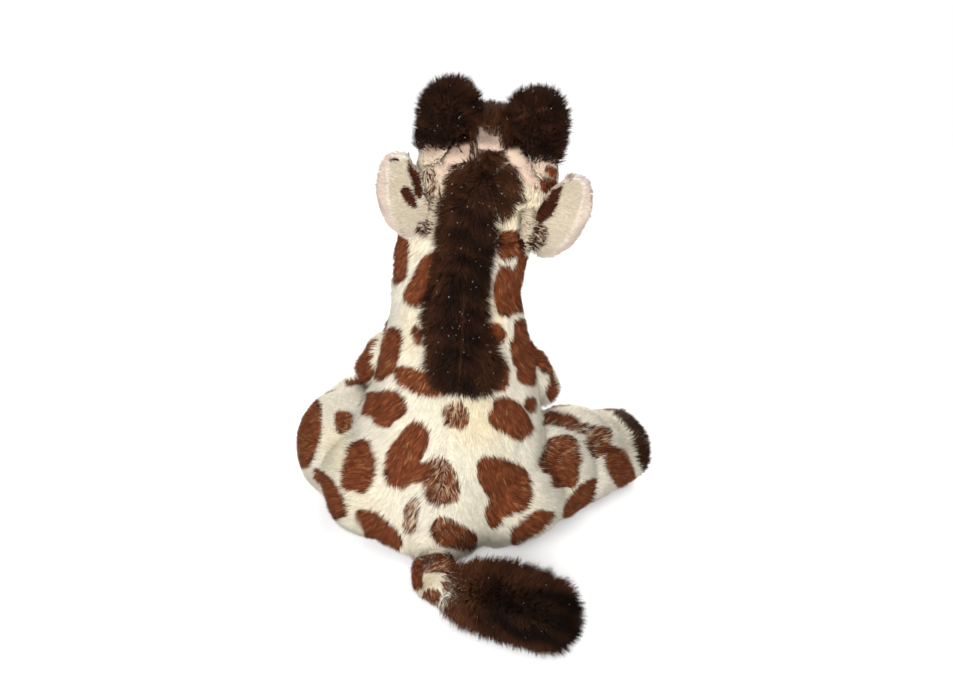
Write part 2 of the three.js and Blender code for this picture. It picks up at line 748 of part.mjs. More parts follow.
for (const side of SIDES) {
  const fore = foreleg(side);
  addPiece(sided(side, 'foreleg'), fore.leg, spotted);
  addPiece(sided(side, 'fore_hoof'), fore.hoof, dark_fur);
  const hind = hindLeg(side);
  addPiece(sided(side, 'hind_leg'), hind.leg, spotted);
  addPiece(sided(side, 'hind_hoof'), hind.hoof, dark_fur);
}

addPiece('tail', tailParts.tail, spotted);
addPiece('tail_tuft', tailParts.tuft, dark_fur);

export default giraffe;
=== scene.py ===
import json
import math

import bmesh
import bpy
import numpy as np
from bpy.props import FloatProperty, FloatVectorProperty, IntProperty, PointerProperty
from mathutils import Matrix, Vector
from mathutils.bvhtree import BVHTree
from mathutils.kdtree import KDTree

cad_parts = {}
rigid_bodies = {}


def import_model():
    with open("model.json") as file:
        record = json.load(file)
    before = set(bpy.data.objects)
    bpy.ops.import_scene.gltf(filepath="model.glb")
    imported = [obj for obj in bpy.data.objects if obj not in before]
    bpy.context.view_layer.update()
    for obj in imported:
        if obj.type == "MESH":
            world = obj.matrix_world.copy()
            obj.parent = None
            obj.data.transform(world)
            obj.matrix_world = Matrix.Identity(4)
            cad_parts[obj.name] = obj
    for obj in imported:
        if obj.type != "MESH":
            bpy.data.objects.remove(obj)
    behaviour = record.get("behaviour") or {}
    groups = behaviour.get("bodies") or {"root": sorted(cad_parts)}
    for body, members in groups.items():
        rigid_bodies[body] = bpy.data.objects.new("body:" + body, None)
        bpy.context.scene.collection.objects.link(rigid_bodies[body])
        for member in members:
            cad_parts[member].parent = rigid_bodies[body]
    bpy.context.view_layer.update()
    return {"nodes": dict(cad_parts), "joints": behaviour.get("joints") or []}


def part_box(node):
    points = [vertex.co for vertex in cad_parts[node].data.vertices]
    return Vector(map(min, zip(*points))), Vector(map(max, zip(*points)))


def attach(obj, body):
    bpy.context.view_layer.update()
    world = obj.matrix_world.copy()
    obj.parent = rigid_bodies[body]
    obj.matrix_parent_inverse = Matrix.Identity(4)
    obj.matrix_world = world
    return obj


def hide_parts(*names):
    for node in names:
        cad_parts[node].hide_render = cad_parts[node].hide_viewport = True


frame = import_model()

bl_info = {
    "name": "Plush giraffe",
    "version": (1, 0, 0),
    "blender": (4, 5, 0),
    "location": "View3D > Sidebar > Giraffe",
    "description": "Dresses the solids of a seated plush giraffe with skins, pile, fur, eyes and stitching",
    "category": "Object",
}

MM = 0.001
SQUARE_CM = 1e-4
SIDES = {"left": 1, "right": -1}  # the giraffe's left is +X
LIMBS = {"hind_leg": "hind_hoof", "foreleg": "fore_hoof"}

# Where each set of random draws or of waves starts
SEEDS = {
    "warm": 3, "unseen": 5, "inner": 8, "stuffing": 11, "straw": 12, "frost_and_painted_light": 21, "pellets": 31,
    "trunk": 100, "head": 110, "tail": 111, "limb": 120, "ear": 130, "mane": 140, "tuft": 141,
    "crown": 142, "wing": 143, "knob": 145, "hoof": 150, "knob_foot": 154,
}

# Sizes and places on the giraffe, in millimetres. A filling is a ball's middle and its radius.
HAUNCH_RADIUS = 22.8
SHOULDER_RADIUS = 10.6
TAIL_BALL_RADIUS = 9.6
TAIL_LINE = ((0, 31, 8), (-1, 44, 8), (-2, 53, 8), (-13, 62, 9), (-45, 74, 12), (-57, 79, 12))
TUFT_SEAM, TUFT_MIDDLE = TAIL_LINE[3:5]
HEAD_FILLING = ((-2, -13, 165.5), 12.5)
SIDE_FILLINGS = (((26, 10, 21), 22), ((20, -4, 78), 10))  # behind a haunch and above a shoulder
SHOULDER_TRIM = {"left": 8.5, "right": 4.5}
SEAT_SEAM_RADIUS, SEAT_SEAM_DEPTH = 15.6, 0.8
MANE_FOOT_SHIFT = 2.4
BAND_HEIGHT = 3  # of the bands in which the locks of a piece are numbered

# Where the trunk's pile goes over from one piece to the next, in millimetres
WAIST, NECK_FOOT = 37, 80
CHEST_EDGE, THROAT_EDGE = -8, 2

# How far down a knob's dark fur goes, in pixels, and how much lower its edge is for each pixel to the right
KNOB_FOOT = {"left": 150, "right": 162}
KNOB_SLOPE = {"left": 0.12, "right": 0}
KNOB_MIDDLE = 440

# Spots that the camera sees. Each has its middle in the picture, across and down in pixels, its half width
# and half height in millimetres, its tilt in degrees and the share of its pile that is brown.
SPOTS = {
    "neck_left": (424, 280, 5.4, 11.4, -30, 1.0),
    "neck_left_low": (417, 335, 2.2, 4.2, 0, 0.8),
    "neck_edge_left": (401, 258, 3.0, 11.0, -4, 1.0),
    "neck_right_high": (511, 244, 5.8, 6.4, 0, 1.0),
    "neck_right": (508, 292, 6.2, 9.8, 12, 1.0),
    "neck_edge_right": (522, 267, 3.4, 5.0, -10, 1.0),
    "neck_right_low": (495, 334, 4.4, 4.5, 0, 1.0),
    "mane_foot_right": (498, 376, 4.8, 5.6, 0, 1.0),
    "mane_foot_left": (422, 382, 11.0, 5.2, -15, 1.0),
    "shoulder_left": (389, 354, 4.4, 10.6, -15, 1.0),
    "foreleg_left": (367, 364, 5.0, 11.0, -32, 1.0),
    "shoulder_right": (525, 352, 5.8, 7.4, 30, 1.0),
    "shoulder_right_low": (528, 375, 4.4, 4.2, 0, 1.0),
    "foreleg_right_high": (541, 356, 3.4, 7.0, 24, 1.0),
    "foreleg_right": (549, 382, 2.8, 7.0, 20, 1.0),
    "armpit_right": (530, 404, 2.6, 3.2, 0, 0.9),
    "haunch_edge_left": (308, 435, 5.4, 13.4, -16, 1.0),
    "haunch_small_left": (344, 422, 4.0, 4.5, 0, 0.8),
    "back_left": (383, 405, 9.4, 6.2, 0, 1.0),
    "back_left_point": (384, 418, 4.2, 3.8, 0, 1.0),
    "haunch_left": (359, 467, 6.2, 11.4, -10, 1.0),
    "rump_left": (406, 456, 7.2, 13.4, -23, 1.0),
    "rump_left_lobe": (413, 471, 5.4, 5.4, 0, 1.0),
    "spine_high": (456, 416, 5.8, 5.2, 0, 0.66),
    "spine": (440, 483, 7.2, 10.4, 8, 0.70),
    "back_right": (511, 419, 6.4, 10.0, 54, 1.0),
    "rump_right": (506, 486, 9.4, 12.2, 20, 1.0),
    "rump_right_corner": (487, 469, 4.4, 4.4, 0, 1.0),
    "rump_right_point": (495, 514, 4.0, 5.4, 0, 1.0),
    "haunch_right": (560, 456, 8.2, 8.4, 0, 0.76),
    "haunch_right_point": (564, 475, 5.4, 5.6, 0, 1.0),
    "shank_right": (598, 441, 5.6, 6.2, 0, 0.66),
    # Painted shade: a brown band along the crease above the right thigh, where shade falls
    "thigh_crease_shade_right": (561, 418, 7.2, 2.0, -8, 0.9),
    "shank_low_right": (579, 501, 4.2, 10.4, -39, 1.0),
    "haunch_low_right": (531, 526, 3.9, 10.2, -53, 1.0),
    "haunch_low_left": (330, 495, 4.0, 11.6, 26, 1.0),
    "rump_low_left": (380, 532, 4.8, 12.2, 45, 1.0),
    "seam_low": (411, 516, 3.4, 7.4, -10, 0.58),
    "rump_middle": (453, 535, 9.8, 5.6, -15, 0.78),
    "tail_band": (435, 564, 10.4, 4.0, 5, 0.72),
    "tail_edge": (417, 577, 2.6, 5.0, 0, 1.0),
    "tail_under": (432, 596, 3.8, 2.8, -20, 0.7),
    "tail_end": (455, 581, 6.4, 3.8, 20, 0.6),
    # Painted light: the lit face of the right hind hoof, where its dark fur shows brown, painted as a brown
    # spot
    "hoof_lit_face": (622, 474, 5.2, 12.0, 24, 1.0),
    "leg_streaks": (566, 424, 12.0, 1.4, -6, 0.7),
    "leg_streaks_far": (582, 432, 7.0, 1.2, -12, 0.6),
    "neck_foot_right": (521, 330, 3.2, 5.0, 0, 0.9),
    "shoulder_edge_right": (553, 392, 3.0, 5.6, 20, 0.9),
    "by_right_ear": (549, 181, 3.0, 6.0, -12, 1.0),
    "ear_left_root": (432, 192, 3.6, 9.6, 8, 0.5),
    "ear_left_low": (424, 228, 3.6, 3.2, 0, 0.6),
    "ear_right_root": (538, 238, 3.6, 5.4, -20, 0.62),
    "ear_right_mottle": (531, 212, 4.4, 11.0, -12, 0.28),
}

# Spots of the ears alone
EAR_SPOTS = {
    "left": (416, 179, 2.3, 7.8, 14, 1.0),
    "left_small": (409, 197, 2.3, 4.8, 25, 1.0),
    "left_speck": (393, 159, 2.0, 0.9, 0, 1.0),
    "right": (550, 194, 3.9, 12.4, -14, 1.0),
    "right_speck": (570, 175, 1.8, 1.9, 0, 1.0),
}

# Tinted places that the camera sees, in the same way: pink crown, yellow by the ears and below the mane
BLUSH_PLACES = {
    "crown_left": (448, 162, 9.0, 6.5, 10, 1.0),
    "crown_right": (530, 168, 12.0, 6.5, -25, 1.0),
    "crown_middle": (495, 145, 9.0, 5.0, 0, 1.0),
}
YELLOW_PLACES = {
    "below_mane": (478, 420, 13.0, 12.0, 10, 0.9),
    "by_left_ear": (450, 172, 5.5, 6.0, 0, 0.8),
    "by_right_ear": (512, 212, 7.0, 7.0, 0, 0.8),
    "right_ear_root": (533, 214, 6.0, 12.0, 0, 0.9),
    "neck_left": (408, 245, 6.0, 8.0, 0, 0.6),
    "neck_right": (495, 310, 5.0, 8.0, 0, 0.7),
    "neck_low_left": (412, 335, 5.0, 12.0, 0, 0.7),
    "haunch_left": (335, 450, 6.0, 10.0, 0, 0.7),
    "tail": (425, 585, 7.0, 5.0, 0, 0.7),
}

# Short dark fur on the head, longer fur beside the mane's top, the parting of a knob, the thin fur of the
# crown and the dark rim of the right hoof
SHORT_FUR_PLACES = {
    "bridge": (495, 113, 10.0, 5.4, 0, 1.0),
    "below_bridge": (495, 131, 4.8, 2.4, 0, 0.7),
    "left_knob_inside": (466, 127, 5.0, 9.0, -15, 1.0),
    "left_knob_foot": (449, 142, 10.0, 3.2, 4, 0.8),
    "left_strands": (470, 150, 3.8, 7.0, 0, 0.55),
    "right_knob_inside": (519, 128, 6.6, 9.5, -35, 1.0),
    "right_knob_foot": (545, 156, 9.0, 2.8, -15, 0.8),
}
LONG_FUR_PLACES = {
    "mane_wing_left": (456, 190, 4.6, 9.5, -14, 0.95),
    "mane_wing_right": (509, 182, 4.4, 8.0, 12, 0.9),
    "mane_side_right": (504, 204, 3.4, 5.0, 0, 0.9),
    "mane_top": (490, 160, 5.2, 4.6, 0, 1.0),
    "mane_top_left": (473, 170, 4.6, 4.6, -20, 1.0),
}
PARTING_PLACES = {
    "right_knob": (530, 115, 8.6, 0.7, 20, 1.0),
}
MAUVE_PLACES = {
    "below_bridge": (488, 124, 7.0, 3.4, 0, 0.8),
    "by_strands": (482, 135, 6.0, 3.0, 0, 0.6),
    "by_left_knob": (448, 150, 9.0, 3.0, 0, 0.5),
}
HOOF_PLACES = {
    "shoulder": (626, 421, 8.5, 2.9, -42, 1.0),
    "side": (641, 458, 2.8, 12.0, 14, 1.0),
}

# Sizes per skin of the spots that the camera doesn't see: the least and most half width, in millimetres
UNSEEN_SPOTS = {
    "trunk_skin": (5.0, 8.5),
    "hind_leg_skin_left": (4.6, 7.6),
    "hind_leg_skin_right": (4.6, 7.6),
    "foreleg_skin_left": (3.2, 4.6),
    "foreleg_skin_right": (3.2, 4.6),
    "tail_skin": (3.0, 4.2),
    "head_skin": (2.6, 4.2),
}

# Values of the panel


def length_property(name, description, millimetres):
    return FloatProperty(name=name, description=description, default=millimetres * MM, unit="LENGTH")


def angle_property(name, description, degrees):
    return FloatProperty(
        name=name, description=description, default=math.radians(degrees), subtype="ANGLE")


def count_property(name, description, default):
    return IntProperty(name=name, description=description, default=default)


def colour_property(name, description, default):
    return FloatVectorProperty(
        name=name, description=description, default=default, subtype="COLOR_GAMMA", size=3, min=0, max=1)


class GiraffeView(bpy.types.PropertyGroup):
    """Where the camera stands and what it looks at"""

    azimuth: angle_property("Azimuth", "Round the giraffe from its front", 180)
    elevation: angle_property("Elevation", "Above the floor", 30)
    roll: angle_property("Roll", "How far the picture leans", 7.2)
    distance: length_property("Distance", "From the camera to the tail's root", 1100)
    pixel: length_property("Pixel", "Width of one pixel at the tail's root", 0.4)
    width: count_property("Width", "Picture width in pixels", 953)
    height: count_property("Height", "Picture height in pixels", 700)
    anchor: FloatVectorProperty(
        name="Anchor", description="The tail's root, which sets the picture's place",
        default=(0, 30 * MM, 3 * MM), subtype="TRANSLATION", unit="LENGTH")
    anchor_across: count_property("Anchor across", "Pixels from the left to the tail's root", 434)
    anchor_down: count_property("Anchor down", "Pixels from the top to the tail's root", 555)


class GiraffeStuffing(bpy.types.PropertyGroup):
    """How the stuffed skins are made"""

    voxel: length_property("Fineness", "Spacing of a skin's points", 1.1)
    fine_voxel: length_property("Fineness of ears", "Spacing of a thin skin's points", 0.6)
    inset: length_property("Inset", "How far a skin lies inside its solid, under the pile", 0.5)
    smoothing: count_property("Smoothing", "Rounds that soften the joins between forms", 16)
    lump_height: length_property("Lump height", "Unevenness of the stuffing", 0.35)
    lump_spread: length_property("Lump spread", "Distance from one lump to the next", 16)
    seam_depth: length_property("Seam depth", "How far a seam draws the skin in", 1.7)
    seam_width: length_property("Seam width", "Half width of the skin that a seam draws in", 1.8)


class GiraffePile(bpy.types.PropertyGroup):
    """The short pile and the long fur"""

    pile_length: length_property("Pile length", "Of the short spotted pile", 3.6)
    pile_width: length_property("Pile width", "Of one lock of pile at its root", 0.28)
    pile_lean: angle_property("Pile lean", "From upright", 60)
    pile_per_cm2: count_property("Pile count", "Locks of pile on a square centimetre", 600)
    fur_length: length_property("Fur length", "Of the long dark fur", 5.6)
    fur_width: length_property("Fur width", "Of one lock of fur at its root", 0.30)
    fur_lean: angle_property("Fur lean", "From upright", 30)
    fur_per_cm2: count_property("Fur count", "Locks of fur on a square centimetre", 760)
    # The glints are painted highlights: near-white specks by the dark fur's tips that stand in for the
    # shine of the light on them
    glint_length: length_property("Glint length", "Of the bright specks in the fur", 0.7)
    glint_width: length_property("Glint width", "Of the bright specks in the fur", 0.28)


class GiraffeColours(bpy.types.PropertyGroup):
    """Colours as they look on a screen"""

    ivory: colour_property("Ivory", "Pale ground of the pile", (0.925, 0.90, 0.84))
    cream: colour_property("Cream", "Warmer ground of the pile", (0.915, 0.865, 0.735))
    brown: colour_property("Spot", "Spots", (0.475, 0.255, 0.145))
    deep_brown: colour_property("Spot edge", "Spots at their edges", (0.27, 0.13, 0.07))
    straw: colour_property("Straw", "Light streaks in the spots", (0.74, 0.58, 0.38))
    blush: colour_property("Blush", "Crown of the head", (0.90, 0.81, 0.74))
    mauve: colour_property("Mauve", "Thin fur over the crown", (0.47, 0.35, 0.32))
    olive: colour_property("Olive cream", "Backs of the ears", (0.79, 0.745, 0.66))
    lining: colour_property("Lining", "Inside of the ears", (0.835, 0.765, 0.705))
    dark: colour_property("Dark fur", "Mane, knobs, hooves and tuft", (0.115, 0.060, 0.033))
    # Frosted tips are partly the dark fur's own browner ends and partly painted light: the brown that light
    # shows where it shines through thin fur at the rims and falls on lit faces
    frost_and_painted_light: colour_property("Frosted tips", "Ends of the dark fur", (0.37, 0.22, 0.135))
    thread: colour_property("Thread", "Stitching on the face", (0.27, 0.15, 0.11))
    eye: colour_property("Eye", "Iris of the eyes", (0.22, 0.11, 0.06))


def own(group):
    return getattr(bpy.context.scene, "giraffe_" + group)


# Colours and shader nodes


def linear(colour):
    """A screen colour as scene linear light."""
    c = np.asarray(colour, float)
    return np.where(c <= 0.04045, c / 12.92, ((c + 0.055) / 1.055) ** 2.4)


def own_colours(*names):
    return [linear(getattr(own("colours"), name)) for name in names]


def blend(base, other, share):
    """Colours that go over to another by a share for each place."""
    return base + (other - base) * share[:, None]


class Wire:
    """A socket that can be multiplied by a number or another wire, or added to it."""

    def __init__(self, nodes, socket):
        self.nodes, self.socket = nodes, socket

    def __add__(self, other):
        return self.nodes.node("ShaderNodeMath", {0: self, 1: other}, operation="ADD")

    def __mul__(self, other):
        return self.nodes.node("ShaderNodeMath", {0: self, 1: other}, operation="MULTIPLY")


class Nodes:
    """The nodes of a material, a world or a modifier."""

    def __init__(self, tree):
        self.tree = tree
        self.tree.nodes.clear()

    def node(self, kind, values=None, output=0, **settings):
        """Adds a node, with its settings made before its sockets are filled, and returns one output."""
        made = self.tree.nodes.new(kind)
        for key, value in settings.items():
            setattr(made, key, value)
        for key, value in (values or {}).items():
            if isinstance(value, Wire):
                self.tree.links.new(value.socket, made.inputs[key])
            elif made.inputs[key].type == "RGBA" and len(value) == 3:
                made.inputs[key].default_value = (*value, 1)
            else:
                made.inputs[key].default_value = value
        return Wire(self, made.outputs[output]) if made.outputs else None

    def ramp(self, factor, stops):
        """A colour for each factor, from stops of a place and a colour."""
        ramp = self.node("ShaderNodeValToRGB", {"Fac": factor})
        elements = ramp.socket.node.color_ramp.elements
        while len(elements) < len(stops):
            elements.new(1)
        for element, (place, colour) in zip(elements, stops):
            element.position = place
            element.color = (*colour, 1)
        return ramp

    def place(self):
        return self.node("ShaderNodeTexCoord", output="Object")

    def noise(self, scale, detail):
        return self.node("ShaderNodeTexNoise", {"Vector": self.place(), "Scale": scale, "Detail": detail})

    def attribute(self, name, output):
        return self.node("ShaderNodeAttribute", output=output, attribute_name=name)

    def bump(self, strength, depth, height):
        return self.node("ShaderNodeBump", {"Strength": strength, "Distance": depth, "Height": height})

    def tinted(self, colour, factor, other, way="MIX"):
        """Colour mixed with another by a factor."""
        return self.node(
            "ShaderNodeMix", {0: factor, 6: colour, 7: other}, output=2, data_type="RGBA", blend_type=way)

    def close(self, **sockets):
        """Ends a material in a Principled shader, with underscores for spaces in socket names."""
        values = {name.replace("_", " "): value for name, value in sockets.items()}
        shader = self.node("ShaderNodeBsdfPrincipled", values)
        self.node("ShaderNodeOutputMaterial", {"Surface": shader})


def nodes_of(owner):
    owner.use_nodes = True
    return Nodes(owner.node_tree)


def wear(mesh, name, make):
    """Gives a mesh one material, which is made only once."""
    material = bpy.data.materials.get(name)
    if material is None:
        material = bpy.data.materials.new(name)
        make(nodes_of(material))
    mesh.materials.clear()
    mesh.materials.append(material)


def hair_finish(roughness, shine):
    """Hair that takes its colour from each lock, a little uneven along it."""

    def make(finish):
        patches = finish.noise(900, 2) * 0.36 + 0.82
        grey = finish.node("ShaderNodeCombineColor", {0: patches, 1: patches, 2: patches})
        shade = finish.tinted(finish.attribute("tint", "Color"), 1.0, grey, "MULTIPLY")
        finish.close(Base_Color=shade, Roughness=roughness, Specular_IOR_Level=shine)

    return make


def backing_finish(finish):
    """The cloth under the pile, darker than the pile itself with the pile's grain: painted shade under the
    pile and in the grain's hollows.
    """
    grain = finish.noise(2600, 4)
    darker, hollows = (0.85, 0.816, 0.782), (0.5, 0.42, 0.34)
    shade = finish.tinted(finish.attribute("tint", "Color"), 1.0, darker, "MULTIPLY")
    finish.close(
        Base_Color=finish.tinted(shade, grain * 0.4, hollows, "MULTIPLY"), Roughness=0.95,
        Normal=finish.bump(0.6, 0.4 * MM, grain), Specular_IOR_Level=0.05)


# Numbers on meshes


def triples(items, key, kind=np.float32):
    """Three numbers of each item of a mesh."""
    out = np.empty(len(items) * 3, kind)
    items.foreach_get(key, out)
    return out.reshape(-1, 3)


def places_of(mesh):
    return triples(mesh.vertices, "co").astype(float)


def normals_of(mesh):
    return triples(mesh.vertex_normals, "vector").astype(float)


def surface_of(mesh):
    return places_of(mesh), normals_of(mesh)


def triangles_of(mesh):
    mesh.calc_loop_triangles()
    return triples(mesh.loop_triangles, "vertices", np.int32)


def surface_tree(mesh):
    return BVHTree.FromPolygons(places_of(mesh).tolist(), triangles_of(mesh).tolist())


def point_tree(points):
    tree = KDTree(len(points))
    for row, point in enumerate(points):
        tree.insert(point, row)
    tree.balance()
    return tree


def matrix_of(*columns):
    """A matrix from the directions of its three axes and its place."""
    return Matrix([*np.stack(columns, 1).tolist(), (0, 0, 0, 1)])


def move_points(mesh, places):
    mesh.vertices.foreach_set("co", places.astype(np.float32).ravel())
    mesh.update()


def unit(vectors):
    return vectors / np.maximum(np.linalg.norm(vectors, axis=-1, keepdims=True), 1e-12)


def ease(value, start, end):
    """0 before start and 1 after end, with a soft step between."""
    t = np.clip((value - start) / (end - start), 0, 1)
    return t * t * (3 - 2 * t)


WAVE_COUNT = 7


def waves(places, spread, seed):
    """Smooth unevenness of about -1 to 1 at each place, with lumps about spread apart."""
    rng = np.random.default_rng(seed)
    total = np.zeros(len(places))
    for _ in range(WAVE_COUNT):
        direction = unit(rng.normal(size=3))
        length = spread * rng.uniform(0.8, 1.8)
        total += np.sin(places @ direction * (2 * math.pi / length) + rng.uniform(0, 2 * math.pi))
    return total / math.sqrt(WAVE_COUNT)


def store_colours(mesh, name, colours):
    attribute = mesh.attributes.get(name) or mesh.attributes.new(name, "FLOAT_COLOR", "POINT")
    rgba = np.ones((len(colours), 4), np.float32)
    rgba[:, :3] = colours
    attribute.data.foreach_set("color", rgba.ravel())


# The picture


def view_axes():
    """The picture's right and up, and the way back to the camera."""
    view = own("view")
    back = np.array([
        math.sin(view.azimuth) * math.cos(view.elevation),
        -math.cos(view.azimuth) * math.cos(view.elevation),
        math.sin(view.elevation)])
    level = unit(np.cross((0, 0, 1), back))
    upright = np.cross(back, level)
    c, s = math.cos(view.roll), math.sin(view.roll)
    return c * level + s * upright, c * upright - s * level, back


def in_picture(places):
    """Where places show in the picture, across and down in pixels, and how near they are."""
    view = own("view")
    right, up, back = view_axes()
    offset = places - camera_place()
    near = view.distance + offset @ back
    scale = view.distance / (view.distance - near) / view.pixel
    return view.width / 2 + offset @ right * scale, view.height / 2 - offset @ up * scale, near


def camera_place():
    view = own("view")
    right, up, back = view_axes()
    across = (view.width / 2 - view.anchor_across) * view.pixel
    rise = (view.anchor_down - view.height / 2) * view.pixel
    return np.array(view.anchor) + right * across + up * rise + back * view.distance


def ray_through(across, down):
    """The way from the camera through a pixel."""
    view = own("view")
    right, up, back = view_axes()
    aim = (np.array(view.anchor) + right * (across - view.anchor_across) * view.pixel
           + up * (view.anchor_down - down) * view.pixel)
    return unit(aim - camera_place())


# Skins

SKIN_CLEAR, HAIR_CLEAR = 0.1 * MM, 0.15 * MM  # above the floor
FUR_INSET, THIN_INSET = 1.6 * MM, 0.3 * MM  # of skins under the long fur, and of thin skins
SKINS = []
BODIES = {}  # the body of each skin
KNOB_SKINS = ("ossicone_skin_left", "ossicone_skin_right")


def new_object(name, data):
    made = bpy.data.objects.new(name, data)
    bpy.context.scene.collection.objects.link(made)
    return made


def object_from(name, bm):
    mesh = bpy.data.meshes.new(name)
    bm.to_mesh(mesh)
    bm.free()
    return new_object(name, mesh)


def settle(piece):
    """Applies a piece's modifiers."""
    bpy.context.view_layer.update()
    graph = bpy.context.evaluated_depsgraph_get()
    mesh = bpy.data.meshes.new_from_object(piece.evaluated_get(graph))
    piece.modifiers.clear()
    old, piece.data = piece.data, mesh
    bpy.data.meshes.remove(old)
    mesh.name = piece.name


def joint_place(child):
    for joint in frame["joints"]:
        if joint["child"] == child:
            return np.array(joint["pos_m"])
    raise ValueError(f"no joint carries {child}")


def stuffed_skin(name, nodes, hidden=(), balls=(), voxel=None, smoothing=None, inset=None, extra=()):
    """One soft skin over several solids and hidden ones. Balls are (centre, radius) that it also covers."""
    stuffing = own("stuffing")
    bm = bmesh.new()
    for node in (*nodes, *hidden):
        bm.from_mesh(frame["nodes"][node].data)
    bmesh.ops.remove_doubles(bm, verts=bm.verts, dist=1e-6)
    for centre, radius in balls:
        bmesh.ops.create_icosphere(
            bm, subdivisions=4, radius=radius, matrix=Matrix.Translation(Vector(centre)))
    piece = object_from(name, bm)
    remesh = piece.modifiers.new("Skin", "REMESH")
    remesh.mode = "VOXEL"
    remesh.voxel_size = voxel or stuffing.voxel
    smooth = piece.modifiers.new("Soften", "SMOOTH")
    smooth.factor = 0.5
    smooth.iterations = smoothing or stuffing.smoothing
    settle(piece)
    mesh = piece.data
    places, normals = surface_of(mesh)
    lumps = waves(places, stuffing.lump_spread, SEEDS["stuffing"]) * stuffing.lump_height
    places += normals * (lumps - (inset or stuffing.inset))[:, None]
    for shape_more in extra:
        places = shape_more(places, normals)
    places[:, 2] = np.maximum(places[:, 2], SKIN_CLEAR)
    move_points(mesh, places)
    mesh.shade_smooth()
    return piece


def dress(piece, body, nodes):
    """Puts a stuffed piece on its body, in place of the solids that it stands for."""
    BODIES[piece.name] = body
    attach(piece, body)
    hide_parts(*nodes)


def back_seam(places, normals):
    """The seam from the mane's foot to the tail draws the skin in, with small folds beside it."""
    stuffing = own("stuffing")
    wander, wander_length, stitch_length = 0.7 * MM, 9 * MM, 1.1 * MM
    fold_height, fold_length, fold_reach, fold_drift = 0.4 * MM, 1.3 * MM, 7 * MM, 5 * MM
    x, y, z = places.T
    near = np.exp(-(((x - wander * np.sin(z / wander_length)) / stuffing.seam_width) ** 2))
    on_back = ease(y, 5 * MM, 15 * MM) * ease(z, 8 * MM, 14 * MM)
    pull = near * on_back * stuffing.seam_depth * (1 + 0.5 * np.sin(z / stitch_length))
    ripple = fold_height * np.sin(z / fold_length + 2 * np.sin(z / fold_drift))
    ripple *= ease(np.abs(x), 0, 3 * MM)
    folds = np.exp(-((x / fold_reach) ** 2)) * on_back * ease(z, 62 * MM, 50 * MM) * ripple
    return places - normals * (pull + folds)[:, None]


def seat_seam(places, normals):
    """The round seam of the seat panel."""
    out = np.hypot(places[:, 0], places[:, 1])
    near = np.exp(-(((out - SEAT_SEAM_RADIUS * MM) / MM) ** 2)) * ease(places[:, 2], 4 * MM, 1 * MM)
    return places + np.array([0, 0, 1]) * (near * SEAT_SEAM_DEPTH * MM)[:, None]


def mane_trim(places, normals):
    """The mane's right side draws in below the head, and its foot lies to the right."""
    x, _, z = (places / MM).T
    foot = ease(z, 104, 88)
    side = 0.3 * ease(z, 142, 128) * ease(-x, 0, 8) * (1 - foot)
    trimmed = places.copy()
    trimmed[:, 0] = places[:, 0] * (1 - side) - MANE_FOOT_SHIFT * MM * foot
    return trimmed


def shoulder_trim(side, sign):
    """The foreleg's outer side falls in a straight line from the neck."""

    def trim(places, normals):
        share = ease(sign * places[:, 0], 18 * MM, 36 * MM) * ease(places[:, 2], 48 * MM, 64 * MM)
        return places - np.array([sign * SHOULDER_TRIM[side] * MM, 0, 0]) * share[:, None]

    return trim


def rump_trim(places, normals):
    """The rump's foot draws in beside the right leg."""
    x, y, z = (places / MM).T
    share = 0.21 * ease(z, 20, 2) * ease(-x, 4, 24) * ease(y, -6, 14)
    return places * np.stack([1 - share, 1 - share, np.ones_like(x)], 1)


def ear_sweep(side, sign):
    """Tips an ear's outer edge up, as it lies in the picture."""
    low, high = (np.array(corner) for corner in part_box("ear_outer_" + side))
    root = low[0] if sign > 0 else high[0]

    def sweep(places, normals):
        out = sign * (places[:, 0] - root)
        rise = places[:, 2] - (low[2] + high[2]) / 2
        shift = 0.14 * rise * ease(out, 0, 14 * MM)
        return places + np.array([sign, 0, 0]) * shift[:, None]

    return sweep


def filled(middle, radius, sign=1):
    """A ball of stuffing, from millimetres to metres, and mirrored to the right where sign is -1."""
    return np.array(middle) * (sign, 1, 1) * MM, radius * MM


# Where spots lie

PAINTED = {}


def skin_tree():
    """One ray-casting tree of every skin that shows."""
    if "tree" not in PAINTED:
        corners, faces = [], []
        count = 0
        for piece in SKINS:
            mesh = bpy.data.objects[piece].data
            places = places_of(mesh)
            corners.append(places)
            faces.append(triangles_of(mesh) + count)
            count += len(places)
        PAINTED["tree"] = BVHTree.FromPolygons(
            np.concatenate(corners).tolist(), np.concatenate(faces).tolist())
    return PAINTED["tree"]


def seen_places(table):
    """Each place of a table with how near the skin is at its middle."""
    key = id(table)
    if key not in PAINTED:
        tree, camera = skin_tree(), Vector(camera_place())
        found = []
        for name, (across, down, half_width, half_height, tilt, share) in table.items():
            hit = tree.ray_cast(camera, Vector(ray_through(across, down)))[0]
            if hit is None:
                print("no skin at", name)
                continue
            near = in_picture(np.array([hit]))[2][0]
            found.append((across, down, half_width * MM, half_height * MM, math.radians(tilt),
                          share, near, len(found)))
        PAINTED[key] = found
    return PAINTED[key]


def wobble(angle, seed):
    """The uneven outline of a spot, as a share of its size."""
    phase = np.random.default_rng(seed).uniform(0, 2 * math.pi, 3)
    return (1 + 0.06 * np.sin(2 * angle + phase[0]) + 0.06 * np.sin(3 * angle + phase[1])
            + 0.035 * np.sin(5 * angle + phase[2]))


SPOT_POWER = 2.5  # 2 is an ellipse, and more is squarer
SPOT_EDGE = 0.12  # half width of a spot's soft edge, as a share of the spot
SPOT_MARGIN = 1.6  # how far from a spot's middle its edge can reach, in the same way


